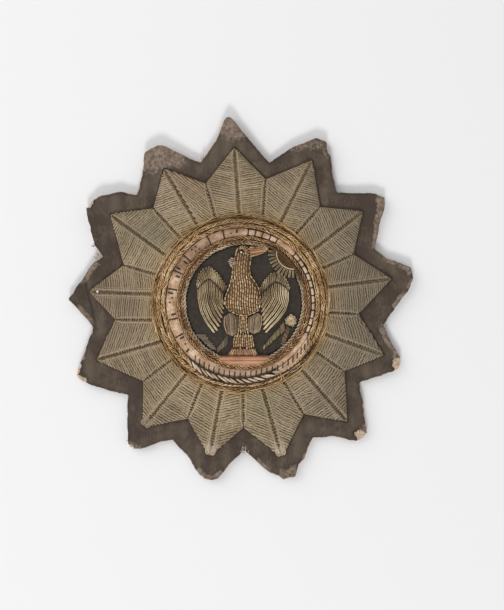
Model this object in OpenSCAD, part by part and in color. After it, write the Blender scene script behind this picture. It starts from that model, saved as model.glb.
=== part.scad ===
// Embroidered breast star. A card cut to thirteen rays is covered with brown silk, whose edges turn
// down over the card. Thirteen padded rays of laid silver thread are sewn on it, round a medallion:
// gold cords, a silk band, and a dark field with an eagle on a perch, a sun and a sprig.
// The star lies on its back. Its face looks up (+Z), the top ray points along +Y, and the origin
// is the middle of the medallion's outer cord, on the back of the card. Millimetres.

/* [Card and silk] */
// Thickness of the card
card_t = 1.2; // [1:0.1:1.6]
// Thickness of the silk over the card
silk_t = 1; // [1:0.05:1.2]
// Clearance between one piece and the next
gap = 0.1; // [0.08:0.01:0.12]
// Height of the silk's turned-down edge over the back of the card
hem_z = 0.3; // [0.2:0.05:0.6]
// Radius inside which the card lies flat
flat_r = 30; // [28:0.5:32]
// Radius at which a ray reaches its full lift
tip_r = 52; // [50:0.5:54]

/* [Embroidered rays] */
// Radius at which the rays start
foot_r = 25.6; // [25.6:0.05:25.9]
// Height of a ray beside its middle seam
ray_h = 1.5; // [1.2:0.05:1.8]
// Height of a ray at its outer edges
ray_edge_h = 0.5; // [0.4:0.05:0.6]
// Depth of the seam along the middle of a ray
seam_d = 0.65; // [0.4:0.05:0.8]
// Half of the width of that seam
seam_w = 0.4; // [0.3:0.05:0.5]

/* [Cords and band] */
// Width of each of the two outer gold cords
outer_w = 1.4; // [1.3:0.02:1.4]
// Radius of the middle of the outermost gold cord
outer_r = 23.85; // [23.85:0.01:23.9]
// Height of the outer gold cords over the silk
outer_h = 2.3; // [2:0.05:2.6]
// Width of the flat gold thread round the outer cords
edge_w = 0.65; // [0.5:0.05:0.65]
// Height of that thread
edge_h = 1; // [0.8:0.05:1.2]
// Height of the crown of the silk band
band_h = 1.7; // [1.5:0.05:1.9]
// Width of each of the two inner gold cords
inner_w = 0.85; // [0.75:0.05:0.85]
// Height of the inner gold cords
inner_h = 2.2; // [1.9:0.05:2.4]
// Width of the grey cord round the field
field_cord_w = 0.6; // [0.5:0.02:0.6]
// Height of that cord
field_cord_h = 1.6; // [1.4:0.05:1.8]

/* [Medallion] */
// Sideways place of the middle of the field
field_x = 1; // [0.9:0.02:1.04]
// Radius of the dark field
field_r = 16.75; // [16.7:0.01:16.8]
// Thickness of the field's silk
field_t = 1; // [1:0.05:1.1]
// Height of a padded piece at its edges
pad_edge = 0.35; // [0.3:0.05:0.4]
// Depth of the grooves between the feathers
feather_d = 0.25; // [0.15:0.05:0.3]
// Radius of the sun's disc
sun_r = 4.8; // [4.6:0.05:4.8]
// Length of a beam of the sun
beam_l = 2.2; // [1.8:0.05:2.2]
// Number of beams
beams = 12; // [8:1:12]
// Radius of the flower's middle
flower_r = 1.15; // [1:0.05:1.2]

/* [Hidden] */
$fn = 96;

// Embroidered rays, clockwise from the top, a row for each: angle of the seam's foot, angle and
// radius of the tip, then of the valley after the ray: angle of its foot, angle and radius of its end
RAYS = [
    [90.7, 92.3, 44.8, 75.3, 78.5, 36.4],
    [63.5, 63.4, 46.0, 51.2, 50.4, 36.0],
    [36.2, 36.8, 44.0, 22.9, 23.3, 35.5],
    [10.4, 9.1, 44.1, 354.0, 354.6, 34.2],
    [339.9, 340.0, 44.0, 327.2, 326.7, 35.9],
    [312.6, 312.0, 46.0, 298.9, 299.6, 36.9],
    [284.4, 285.1, 46.0, 271.7, 271.3, 36.0],
    [258.0, 258.5, 45.1, 244.2, 245.4, 36.8],
    [232.6, 231.8, 45.5, 219.5, 218.8, 36.1],
    [205.8, 201.6, 44.8, 191.0, 187.6, 36.5],
    [174.2, 175.7, 43.8, 161.3, 162.0, 35.5],
    [147.5, 145.8, 45.4, 132.6, 132.7, 37.2],
    [118.8, 119.7, 44.5, 106.5, 106.3, 35.9]
];
// The silk's outline, a row for each ray: angle and radius of the first corner and of the second
// corner, then of the notch after the ray, and how far the edges before and after bow outwards
SILK = [
    [94.3, 54.0, 92.6, 53.6, 78.5, 41.9, -0.5, -0.3],
    [65.8, 52.4, 61.4, 52.7, 48.5, 42.9, 0.6, -0.6],
    [39.1, 50.3, 35.0, 51.4, 22.2, 42.0, 0.0, -0.1],
    [12.0, 50.1, 7.3, 50.4, 352.6, 41.7, -0.9, 0.8],
    [341.2, 49.6, 337.2, 50.0, 326.2, 41.7, -0.8, -0.1],
    [315.3, 51.9, 310.3, 52.9, 298.1, 44.1, -0.2, -0.6],
    [287.5, 52.9, 283.5, 52.6, 271.4, 42.6, 0.4, 0.7],
    [262.4, 51.7, 256.8, 51.5, 243.5, 44.4, -0.2, -0.5],
    [235.1, 52.0, 231.8, 52.8, 219.2, 42.0, -0.2, 0.3],
    [205.6, 51.9, 202.3, 51.9, 189.1, 43.4, 0.6, -0.6],
    [179.6, 49.7, 177.7, 49.8, 161.8, 41.8, -0.2, 1.2],
    [149.1, 51.9, 144.6, 52.1, 133.6, 43.5, 1.3, 1.0],
    [122.6, 51.8, 117.9, 51.7, 105.8, 42.4, -0.5, 0.1]
];
// How the rays lie now, a row for each: lift of the tip, and length of bare card at the tip
WEAR = [
    [1.2, 0], [0.9, 0], [0.7, 0], [0.6, 0], [0.5, 1.9], [0.3, 1.9], [0.2, 0],
    [0.3, 0], [0.3, 1.4], [0.5, 1.4], [0.9, 0], [1.3, 1.4], [1.4, 0]
];
// Padded pieces of the eagle, from the bottom up, a row for each height: height on the field, left
// edge, right edge, rise of the padding
BODY = [
    [-9.0, 0.3, 1.8, 1.0], [-4.4, 0.2, 2.0, 1.3], [-3.3, -1.0, 3.1, 1.4], [-2.2, -3.4, 5.2, 1.6],
    [-0.3, -4.7, 5.8, 1.8], [1.7, -4.5, 5.8, 1.9], [3.8, -3.7, 5.5, 1.8], [5.7, -3.0, 4.5, 1.7],
    [7.8, -2.5, 2.9, 1.5], [10.2, -2.3, 2.6, 1.4], [12.5, -1.9, 3.0, 1.4], [14.2, -1.4, 3.2, 1.4],
    [15.6, -0.8, 2.8, 1.2], [16.5, 0.3, 1.7, 0.8]
];
TAIL = [[-13.0, -2.4, 4.2, 1.0], [-11.4, -2.3, 4.0, 1.2], [-10.1, -2.1, 3.8, 1.2],
    [-9.2, -0.8, 2.8, 1.0]];
THIGH_LEFT = [[-9.6, -3.0, -1.9, 0.6], [-8.4, -4.1, -0.5, 1.1], [-6.4, -4.7, 0.0, 1.3],
    [-4.6, -4.7, -0.1, 1.2], [-3.6, -4.2, -1.6, 0.9]];
THIGH_RIGHT = [[-9.0, 3.2, 4.4, 0.6], [-8.0, 2.3, 5.4, 1.1], [-6.2, 2.2, 6.0, 1.3],
    [-4.6, 2.3, 6.1, 1.2], [-3.5, 3.6, 5.9, 0.9]];
WING_LEFT = [[-8.6, -8.0, -6.8, 0.7], [-6.3, -9.7, -6.2, 1.0], [-3.2, -11.4, -5.4, 1.2],
    [0.2, -12.6, -5.0, 1.3], [3.6, -13.1, -4.3, 1.4], [6.4, -12.8, -4.7, 1.3],
    [8.4, -12.1, -6.4, 1.1], [10.3, -9.6, -8.4, 0.7]];
WING_RIGHT = [[-8.9, 6.9, 7.8, 0.7], [-7.2, 6.5, 10.0, 0.9], [-5.0, 6.3, 12.1, 1.1],
    [-2.6, 6.2, 13.6, 1.2], [0.2, 6.1, 14.4, 1.3], [3.0, 6.1, 14.3, 1.4], [5.2, 6.0, 13.6, 1.3],
    [7.2, 7.2, 12.2, 1.1], [8.5, 9.4, 11.0, 0.7]];
TUFT = [[10.3, -2.8, -2.55, 0.5], [11.2, -3.1, -2.4, 0.7], [12.2, -3.5, -2.3, 0.5]];
FEET = [[-15.2, -3.7, 5.1, 0.9], [-14.4, -3.6, 5.0, 1.1], [-13.2, -2.6, 4.3, 0.9]];
PERCH = [[-18.2, -1.1, 3.1, 0.7], [-17.8, -3.3, 5.3, 1.0], [-17.2, -5.1, 7.1, 1.2],
    [-16.4, -6.4, 8.3, 1.3], [-15.7, -6.5, 8.4, 1.2], [-15.35, -6.2, 8.1, 0.8]];
// The beak, with its point downwards before a quarter turn to the left, so its left edge is the lower
BEAK = [[-7.6, 14.6, 15.2, 0.6], [-6.5, 14.3, 15.6, 0.9], [-5.0, 13.9, 16.1, 1.0],
    [-3.4, 13.7, 16.2, 0.9]];
// Pieces of the sprig, a row for each: foot, head, width at the foot and at the head, rise
LONG_STEM = [[6.5, -13.1], [12.5, -6.9], 0.6, 1.3, 0.7];
SHORT_STEM = [[11.8, -11.9], [13.4, -7.6], 1.1, 0.9, 0.6];
LEAF_LEFT = [[-7.6, -13.3], [-11.5, -9.2], 0.9, 1.3, 0.45];
LEAF_RIGHT = [[-6.5, -13.6], [-3.7, -10.7], 0.9, 1.3, 0.45];

// The flank of a ray, a row for each step from its outer edge to the seam: share of the way, share
// of the ray's height
FLANK = [[0.25, 0.72], [0.62, 0.92]];
// Share of its height that a ray loses on the way to its tip, and share of the way where it ends
tip_fall = 0.35;
ray_end = 0.96;
ray_count = len(RAYS);
silk_z = card_t + gap;
seat_z = silk_z + silk_t + gap;
field_z = seat_z + field_t + gap;
field_cord_r = field_r + gap + field_cord_w / 2;
inner_b_r = field_cord_r + field_cord_w / 2 + gap / 2 + inner_w / 2;
inner_a_r = inner_b_r + inner_w + gap / 2;
outer_b_r = outer_r - outer_w - gap / 2;
band_out_r = outer_b_r - outer_w / 2 - gap / 2;
band_in_r = inner_a_r + inner_w / 2 + gap;
// Depth of the round of the band's crown under its seat
band_sink = 2;
sun_at = [15.1, 14.5];
sun_bound_r = inner_a_r - inner_w / 2 - gap;
sun_t = 0.7;
beam_w = 0.45;
beam_from = 176;
beam_step = 9.5;
// Angles about the middle of the field where the cords stop at the sun and at the perch
sun_left = 68;
sun_right = 24;
perch_left = 241;
perch_right = 299;
eye_at = [0.2, 14.6];
eye_z = 1.75;
eye_r = 0.3;
flower_at = [14.6, -5.1];
flower_t = 0.9;
petal_r = 0.42;
// Drop of the silk's rounded edge
brow = 0.35;

// Geometry of the outlines
function polar(a, r) = [r * cos(a), r * sin(a)];
function mix(a, b, t) = a + (b - a) * t;
function before(k) = (k + ray_count - 1) % ray_count;
// Clockwise turn of a point from the top ray, and how far the warped card lifts there
function turn(p) = (SILK[0][0] - atan2(p[1], p[0]) + 720) % 360;
lift_by_turn = [for (k = [0 : ray_count]) [k * 360 / ray_count, WEAR[k % ray_count][0]]];
function lift(p) = lookup(turn(p), lift_by_turn) * pow(max(0, norm(p) - flat_r) / (tip_r - flat_r), 2);
function raised(p, z) = [p[0], p[1], z + lift(p)];
// Left-hand normal of a step, which points outwards on a clockwise outline
function outward(a, b) = [a[1] - b[1], b[0] - a[0]] / norm(b - a);
// A place on the edge from a to b, which bows outwards
function edge_at(a, b, bow, t) = mix(a, b, t) + outward(a, b) * bow * 4 * t * (1 - t);
// An outline drawn in by a distance, with mitred corners
function drawn_in(o, d) = [for (i = [0 : len(o) - 1])
    let (m = outward(o[(i + len(o) - 1) % len(o)], o[i]), n = outward(o[i], o[(i + 1) % len(o)]))
    o[i] - (m + n) * d / (1 + m * n)];
// The silk's outline round one ray: notch, two edge points, two corners, two edge points. The
// corners are cut back where the silk is worn off the card
function silk_ray(k, worn) =
    let (s = SILK[k], p = SILK[before(k)], notch = polar(p[4], p[5]), next = polar(s[4], s[5]),
        c = polar(s[0], s[1]), d = polar(s[2], s[3]), cut = worn * WEAR[k][1],
        up = edge_at(notch, c, s[6], 2 / 3), down = edge_at(d, next, s[7], 1 / 3))
    [notch, edge_at(notch, c, s[6], 1 / 3), up, c + cut * (up - c) / norm(up - c),
        d + cut * (down - d) / norm(down - d), down, edge_at(d, next, s[7], 2 / 3)];
function silk_outline(worn) = [for (k = [0 : ray_count - 1]) each silk_ray(k, worn)];
// A ring of an outline: share 0 is on the flat circle, share 1 on the outline, at height z
shares = [0, 0.4, 0.75, 1];
function ring(o, share, z) = [for (p = o) raised(mix(p * flat_r / norm(p), p, share), z)];

// A solid through closed rings, the first and the last of them capped
module loft(rings) {
    n = len(rings[0]);
    walls = [for (r = [0 : len(rings) - 2], i = [0 : n - 1])
        let (a = r * n + i, b = r * n + (i + 1) % n)
        each [[a, b, b + n], [a, b + n, a + n]]];
    foot = [for (i = [n - 1 : -1 : 0]) i];
    head = [for (i = [0 : n - 1]) (len(rings) - 1) * n + i];
    polyhedron(points = [for (r = rings) each r], faces = concat([foot, head], walls), convexity = 8);
}
// A solid between rows of upper points and rows of three lower points
module slab(upper, lower) {
    n = len(upper[0]);
    rows = len(upper);
    u = function(i, j) i * n + j;
    l = function(i, j) rows * n + i * 3 + j;
    quad = function(a, b, c, d) [[a, b, c], [a, c, d]];
    steps = [for (i = [0 : rows - 2]) i];
    top = [for (i = steps, j = [0 : n - 2])
        each quad(u(i, j), u(i + 1, j), u(i + 1, j + 1), u(i, j + 1))];
    under = [for (i = steps, j = [0 : 1])
        each quad(l(i, j), l(i, j + 1), l(i + 1, j + 1), l(i + 1, j))];
    left = [for (i = steps) each quad(u(i, 0), l(i, 0), l(i + 1, 0), u(i + 1, 0))];
    right = [for (i = steps) each quad(u(i, n - 1), u(i + 1, n - 1), l(i + 1, 2), l(i, 2))];
    e = rows - 1;
    start = concat([[l(0, 1), l(0, 0), u(0, 0)], [l(0, 1), u(0, n - 1), l(0, 2)]],
        [for (j = [0 : n - 2]) [l(0, 1), u(0, j), u(0, j + 1)]]);
    end = concat([[l(e, 1), u(e, 0), l(e, 0)], [l(e, 1), l(e, 2), u(e, n - 1)]],
        [for (j = [0 : n - 2]) [l(e, 1), u(e, j + 1), u(e, j)]]);
    polyhedron(points = concat([for (r = upper) each r], [for (r = lower) each r]),
        faces = concat(top, under, left, right, start, end), convexity = 6);
}
// A padded piece from rows of height, left edge, right edge and rise, with grooves along it
module pad(rows, z = field_z, grooves = 0) {
    n = grooves > 0 ? 2 * grooves : 6;
    upper = [for (r = rows) [for (j = [0 : n])
        let (t = j / n, arch = pow(max(0, sin(180 * t)), 0.6), dip = feather_d * arch * (j % 2))
        [mix(r[1], r[2], t), r[0], z + pad_edge + (r[3] - pad_edge) * arch - (grooves > 0 ? dip : 0)]]];
    lower = [for (r = rows) [for (t = [0, 0.5, 1]) [mix(r[1], r[2], t), r[0], z]]];
    slab(upper, lower);
}
// A straight padded bar of the sprig from a row of its table
module bar(row) {
    step = row[1] - row[0];
    translate([row[0][0], row[0][1], 0]) rotate(atan2(step[1], step[0]) - 90)
        pad([for (t = [0, 0.5, 1])
            let (w = mix(row[2], row[3], t) / 2) [t * norm(step), -w, w, row[4]]]);
}
// A round-topped cord on its padding, over an angle about the middle of the field or of the star
module cord(x, r, w, z, h, from = 0, span = 360) {
    crown_r = 0.6 * w;
    translate([x, 0, 0]) rotate(from) rotate_extrude(angle = span) translate([r, z]) union() {
        translate([-w / 2, 0]) square([w, h - crown_r]);
        intersection() {
            translate([-w / 2, 0]) square([w, h]);
            translate([0, h - crown_r]) circle(r = crown_r, $fn = 32);
        }
    }
}

module backing_card() {
    o = drawn_in(silk_outline(0), silk_t + gap);
    color("#bda98f") loft(concat([for (t = shares) ring(o, t, 0)],
        [for (j = [3 : -1 : 0]) ring(o, shares[j], card_t)]));
}
module ground_silk() {
    o = silk_outline(1);
    i = drawn_in(o, silk_t);
    top_z = silk_z + silk_t;
    // Where the silk is worn off the tip, its edge ends over the card and doesn't turn down
    bare = [for (k = [0 : ray_count - 1], j = [0 : 6]) WEAR[k][1] > 0 && (j == 3 || j == 4)];
    function hem(o) = [for (n = [0 : len(o) - 1]) raised(o[n], bare[n] ? silk_z - gap / 4 : hem_z)];
    color("#574c43") loft(concat([for (t = shares) ring(i, t, silk_z)],
        [hem(i), hem(o), ring(o, 1, top_z - brow)], [for (j = [3 : -1 : 0]) ring(i, shares[j], top_z)]));
}
// One ray: two padded flanks of laid thread that rise from the valleys to the sunken middle seam
module ray(k) {
    r = RAYS[k];
    p = RAYS[before(k)];
    tip = polar(r[1], r[2]);
    foot = polar(r[0], foot_r);
    left_foot = polar(p[3], foot_r);
    left_end = polar(p[4], p[5]);
    right_foot = polar(r[3], foot_r);
    right_end = polar(r[4], r[5]);
    knee = (p[5] + r[5] - 2 * foot_r) / (2 * (r[2] - foot_r));
    // Stations along the ray: share of the way to the valley's end, then of the way to the tip
    places = concat([for (t = [0, 1 / 3, 2 / 3, 1]) [t, 0]],
        [for (t = [0.25, 0.5, 0.75, ray_end]) [1, t]]);
    fall = function(s) 1 - tip_fall * s[1];
    side = function(a, b, s) s[1] == 0 ? mix(a, b, s[0]) : mix(b, tip, s[1]);
    middle = function(s) mix(foot, tip, s[1] == 0 ? knee * s[0] : mix(knee, 1, s[1]));
    flank = function(e, m, s) let (w = norm(m - e), edge = [gap / 2 / w, ray_edge_h / ray_h],
        brink = [max(0.7, 1 - seam_w / w), 1])
        [for (c = [edge, each FLANK, brink])
            raised(mix(e, m, c[0]), seat_z + c[1] * ray_h * fall(s))];
    rows = [for (s = places)
        let (a = side(left_foot, left_end, s), b = side(right_foot, right_end, s), m = middle(s),
            l = flank(a, m, s), g = flank(b, m, s))
        concat(l, [raised(m, seat_z + (ray_h - seam_d) * fall(s))], [for (j = [3 : -1 : 0]) g[j]])];
    lower = [for (i = [0 : len(rows) - 1]) [for (j = [0, 4, 8])
        let (q = [rows[i][j][0], rows[i][j][1]]) raised(q, seat_z)]];
    color("#857660") slab(rows, lower);
}
module edge_thread() {
    color("#9a7d4a") cord(0, outer_r + (outer_w + gap + edge_w) / 2, edge_w, seat_z, edge_h);
}
module outer_cord_a() { color("#8a6a45") cord(0, outer_r, outer_w, seat_z, outer_h); }
module outer_cord_b() { color("#86663f") cord(0, outer_b_r, outer_w, seat_z, outer_h); }
module silk_band() {
    crown_r = (band_out_r + band_in_r) / 2;
    color("#a58a6f") difference() {
        rotate_extrude() intersection() {
            translate([band_in_r - 2 * field_x, seat_z])
                square([band_out_r - band_in_r + 2 * field_x, band_h]);
            translate([crown_r, seat_z - band_sink]) circle(r = band_h + band_sink, $fn = 64);
        }
        translate([field_x, 0, 0]) cylinder(r = band_in_r, h = 10);
    }
}
module inner_cord_a() { color("#7d6548") cord(field_x, inner_a_r, inner_w, seat_z, inner_h); }
// The second cord and the grey cord make way for the sun and the perch, so each is in two lengths
module part_cord(left, r, w, h) {
    from = left ? sun_left : perch_right;
    to = left ? perch_left : 360 + sun_right;
    cord(field_x, r, w, seat_z, h, from, to - from);
}
module inner_cord_b(left) { color("#7a6145") part_cord(left, inner_b_r, inner_w, inner_h); }
module field_cord(left) { color("#7f6c59") part_cord(left, field_cord_r, field_cord_w, field_cord_h); }
module field_silk() {
    color("#3a352f") translate([field_x, 0, seat_z]) cylinder(r = field_r, h = field_t);
}
module eagle_body() { color("#80694f") pad(BODY, grooves = 4); }
module eagle_tail() { color("#86704f") pad(TAIL, grooves = 4); }
module thigh_left() { color("#776352") pad(THIGH_LEFT); }
module thigh_right() { color("#776352") pad(THIGH_RIGHT); }
module wing_left() { color("#807060") pad(WING_LEFT, grooves = 6); }
module wing_right() { color("#807060") pad(WING_RIGHT, grooves = 6); }
module beak() { color("#8f6a4a") rotate(90) pad(BEAK); }
module eye() {
    color("#1c1815") translate([eye_at[0], eye_at[1], field_z + eye_z]) sphere(r = eye_r, $fn = 24);
}
module nape_tuft() { color("#7d6a60") pad(TUFT); }
module eagle_feet() { color("#99785c") pad(FEET, grooves = 5); }
module perch() { color("#a97f62") pad(PERCH); }
module sun() {
    color("#69513a") translate([0, 0, field_z]) linear_extrude(height = sun_t) union() {
        intersection() {
            translate(sun_at) circle(r = sun_r);
            translate([field_x, 0]) circle(r = sun_bound_r);
        }
        // The beams start inside the disc, a beam's width from its edge
        for (i = [0 : beams - 1])
            translate(sun_at) rotate(beam_from + i * beam_step)
                translate([sun_r - beam_w, -beam_w / 2]) square([beam_l + beam_w, beam_w]);
    }
}
module flower() {
    color("#8d7f6c") translate([flower_at[0], flower_at[1], field_z])
        linear_extrude(height = flower_t) union() {
            circle(r = flower_r);
            for (a = [0 : 45 : 315]) rotate(a) translate([flower_r, 0]) circle(r = petal_r, $fn = 24);
        }
}
module long_stem() { color("#7c6445") bar(LONG_STEM); }
module short_stem() { color("#7a5c46") bar(SHORT_STEM); }
module leaf_left() { color("#5d5248") bar(LEAF_LEFT); }
module leaf_right() { color("#5d5248") bar(LEAF_RIGHT); }

backing_card();
ground_silk();
ray(0);  // ray_01
ray(1);  // ray_02
ray(2);  // ray_03
ray(3);  // ray_04
ray(4);  // ray_05
ray(5);  // ray_06
ray(6);  // ray_07
ray(7);  // ray_08
ray(8);  // ray_09
ray(9);  // ray_10
ray(10);  // ray_11
ray(11);  // ray_12
ray(12);  // ray_13
edge_thread();
outer_cord_a();
outer_cord_b();
silk_band();
inner_cord_a();
inner_cord_b(true);  // inner_cord_b_left
inner_cord_b(false);  // inner_cord_b_right
field_cord(true);  // field_cord_left
field_cord(false);  // field_cord_right
field_silk();
eagle_body();
eagle_tail();
thigh_left();
thigh_right();
wing_left();
wing_right();
beak();
eye();
nape_tuft();
eagle_feet();
perch();
sun();
flower();
long_stem();
short_stem();
leaf_left();
leaf_right();
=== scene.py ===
import math
import random

import bmesh
import bpy
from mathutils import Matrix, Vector, kdtree, noise


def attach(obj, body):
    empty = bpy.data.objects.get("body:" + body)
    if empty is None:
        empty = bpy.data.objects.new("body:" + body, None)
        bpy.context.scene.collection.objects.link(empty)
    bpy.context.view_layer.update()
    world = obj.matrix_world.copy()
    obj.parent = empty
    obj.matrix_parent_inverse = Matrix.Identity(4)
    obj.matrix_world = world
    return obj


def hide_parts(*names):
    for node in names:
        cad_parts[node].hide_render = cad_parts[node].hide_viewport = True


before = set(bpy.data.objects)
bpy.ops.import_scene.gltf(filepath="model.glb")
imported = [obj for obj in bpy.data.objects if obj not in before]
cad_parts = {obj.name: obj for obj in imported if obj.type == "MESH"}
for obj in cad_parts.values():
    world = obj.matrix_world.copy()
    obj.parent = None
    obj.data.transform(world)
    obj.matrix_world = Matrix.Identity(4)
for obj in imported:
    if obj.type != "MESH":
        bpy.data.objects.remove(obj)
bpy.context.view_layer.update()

# Table, camera and light. The star lies on a white table, and a camera with a long lens looks
# straight down on it. Soft light comes from the lower edge of the picture, so each lifted tip
# throws a short soft shadow upwards.

# Lengths are in millimetres where nothing else is said, and angles in degrees from the right
MM = 0.001
scene = bpy.context.scene
scene.view_settings.view_transform = "Standard"


def srgb(tone):
    """A sRGB hex colour as linear red, green, blue and alpha."""
    parts = [int(tone[i:i + 2], 16) / 255 for i in (1, 3, 5)]
    return (*[c / 12.92 if c <= 0.04045 else ((c + 0.055) / 1.055) ** 2.4 for c in parts], 1.0)


def node(tree, kind, inputs=None, **settings):
    """Adds a shader node with its settings. An input is a value, a socket that feeds it, or a node,
    which feeds it by its first output in use."""
    made = tree.nodes.new("ShaderNode" + kind)
    for key, value in settings.items():
        setattr(made, key, value)
    for key, value in (inputs or {}).items():
        if isinstance(value, bpy.types.Node):
            value = next(output for output in value.outputs if output.enabled)
        if isinstance(value, bpy.types.NodeSocket):
            tree.links.new(value, made.inputs[key])
        else:
            made.inputs[key].default_value = value
    return made


def blank_material(name):
    """A material with an empty tree, and the tree."""
    made = bpy.data.materials.new(name)
    made.use_nodes = True
    made.node_tree.nodes.clear()
    return made, made.node_tree


# The point under the camera, and the camera's height
VIEW_MIDDLE = (3.3, -0.6)
VIEW_HEIGHT = 494
camera = bpy.data.objects.new("camera", bpy.data.cameras.new("camera"))
camera.data.lens = 100
camera.data.sensor_width = 36
camera.data.clip_end = 10
camera.location = (VIEW_MIDDLE[0] * MM, VIEW_MIDDLE[1] * MM, VIEW_HEIGHT * MM)
scene.collection.objects.link(camera)
scene.camera = camera

table_white, tree = blank_material("matt_white_table")
node(tree, "OutputMaterial", {"Surface": node(tree, "BsdfPrincipled", {
    "Base Color": srgb("#f5f5f6"), "Roughness": 0.9})})
bm = bmesh.new()
bmesh.ops.create_grid(bm, x_segments=1, y_segments=1, size=1.5)
table = bpy.data.objects.new("table", bpy.data.meshes.new("table"))
bm.to_mesh(table.data)
bm.free()
table.data.materials.append(table_white)
scene.collection.objects.link(table)

# Lamp: name, place in metres, size in metres, watts
for name, place, size, power in (("window", (-0.12, -1.25, 1.13), 0.45, 11.1),
                                 ("side window", (-0.55, 0.36, 0.55), 0.9, 3.2)):
    lamp = bpy.data.objects.new(name, bpy.data.lights.new(name, "AREA"))
    lamp.data.size = size
    lamp.data.energy = power
    lamp.location = place
    lamp.rotation_euler = (-Vector(place)).to_track_quat("-Z", "Y").to_euler()
    scene.collection.objects.link(lamp)
world = bpy.data.worlds.new("room")
world.use_nodes = True
world.node_tree.nodes["Background"].inputs["Color"].default_value = srgb("#f6f6f6")
world.node_tree.nodes["Background"].inputs["Strength"].default_value = 0.55
scene.world = world

# Backing card: stiff yellowed card, cut by hand to thirteen rays. Age has warped it, so its rays
# lift off the table, and at some tips the cloth is worn off its rubbed corners.

# It is flat out to FLAT_R, and lifted at TIP_R by as much as the list says, clockwise from the top
FLAT_R = 30
TIP_R = 52
TOP_RAY = 94.3
TIP_LIFT = [1.2, 0.9, 0.7, 0.6, 0.5, 0.3, 0.2, 0.3, 0.3, 0.5, 0.9, 1.3, 1.4]
CARD_TOP = 1.95
# The cut edge, clockwise from the notch before the top ray: angle and radius of each corner
EDGE = [
    (105.9, 42.4), (104.3, 43.4), (98.7, 47.6), (95.0, 53.4), (94.1, 54.1), (92.7, 53.6),
    (87.3, 47.7), (82.7, 44.1), (78.4, 41.6), (72.3, 47.0), (68.4, 50.1), (65.6, 52.5),
    (61.8, 53.0), (60.6, 50.9), (58.4, 49.8), (54.5, 46.1), (48.9, 42.5), (39.3, 50.2),
    (36.1, 51.7), (33.2, 49.9), (29.4, 46.3), (21.9, 42.0), (17.3, 44.2), (11.8, 50.5),
    (8.4, 50.6), (4.2, 48.8), (358.6, 45.1), (351.2, 41.9), (345.3, 45.2), (340.5, 49.7),
    (337.3, 50.0), (333.5, 46.6), (326.5, 41.6), (323.4, 43.2), (321.3, 45.8), (317.5, 49.0),
    (314.3, 52.8), (310.9, 53.0), (309.7, 52.1), (307.4, 49.4), (303.8, 46.7), (297.9, 44.3),
    (294.2, 47.1), (292.0, 49.1), (289.8, 49.8), (287.6, 52.8), (283.8, 52.8), (282.3, 51.3),
    (279.4, 49.9), (275.4, 45.9), (271.5, 42.7), (266.3, 46.7), (263.6, 50.1), (262.5, 51.5),
    (260.6, 52.2), (258.1, 52.0), (255.6, 50.6), (250.7, 47.0), (243.5, 44.4), (239.4, 47.3),
    (235.7, 51.3), (232.2, 53.2), (227.6, 48.9), (221.2, 43.6), (219.3, 42.1), (215.1, 45.0),
    (208.3, 49.9), (204.9, 52.4), (202.8, 51.9), (200.9, 49.8), (196.8, 47.1), (192.2, 44.5),
    (189.2, 43.3), (182.9, 46.8), (178.8, 50.0), (173.8, 47.4), (164.7, 44.3), (161.5, 42.0),
    (158.5, 45.6), (150.5, 51.1), (148.3, 52.4), (145.9, 52.4), (144.2, 51.8), (142.1, 50.8),
    (136.9, 47.2), (133.8, 43.4), (127.7, 46.7), (122.4, 51.9), (118.0, 51.8), (115.9, 50.6),
    (112.4, 47.0), (108.8, 44.0)]
# Places where the cloth has worn off the card, each a strip between two points: the points and how
# far the strip reaches to either side
BARE = [((45.6, -17.6), (46.4, -18.8), 1.8), ((34.9, -38.7), (35.5, -39.3), 1.9),
        ((-43.9, 29.5), (-44.2, 28.6), 1.1), ((-47.4, -18.3), (-47.8, -19.6), 1.1),
        ((-32.3, -42.1), (-33.3, -42.1), 1.1), ((-47.6, -21.6), (-45.6, -22.6), 0.9),
        ((15.6, -51.3), (13.4, -51.6), 0.8), ((-30.4, 42.6), (-29.6, 43.6), 0.8),
        ((43.9, 13.6), (41.6, 14.9), 0.7), ((-27.7, 45.4), (-27.0, 45.6), 0.9),
        ((36.3, -29.5), (37.3, -36.8), 0.85), ((49.6, -7.0), (50.2, 2.0), 0.7),
        ((-44.6, 21.5), (-43.2, 17.5), 0.7)]


def polar(angle, radius):
    """The point at an angle in degrees and a radius."""
    return Vector((math.cos(math.radians(angle)), math.sin(math.radians(angle)))) * radius


def mix(a, b, share):
    """The value a share of the way from a to b."""
    return a + (b - a) * share


def left_of(step):
    """The direction to the left of a step."""
    return Vector((-step.y, step.x))


def read_off(rows, x):
    """The values of a table at x, on straight lines between rows that start with their x."""
    x = min(max(x, rows[0][0]), rows[-1][0])
    low, high = next(pair for pair in zip(rows, rows[1:]) if x <= pair[1][0])
    share = (x - low[0]) / (high[0] - low[0])
    return [mix(a, b, share) for a, b in zip(low[1:], high[1:])]


def rough(place, size, seed=0):
    """Smooth noise from -1 to 1, of features about size across."""
    return noise.noise(Vector((*place, seed * 7.3)) / size)


def lift(x, y):
    """How far the warped card is lifted at a point, in millimetres."""
    radius = math.hypot(x, y)
    if radius <= FLAT_R:
        return 0
    tips = len(TIP_LIFT)
    turn = (TOP_RAY - math.degrees(math.atan2(y, x))) % 360 / 360 * tips
    k = int(turn)
    tip = mix(TIP_LIFT[k % tips], TIP_LIFT[(k + 1) % tips], turn - k)
    return tip * ((radius - FLAT_R) / (TIP_R - FLAT_R)) ** 2


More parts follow.
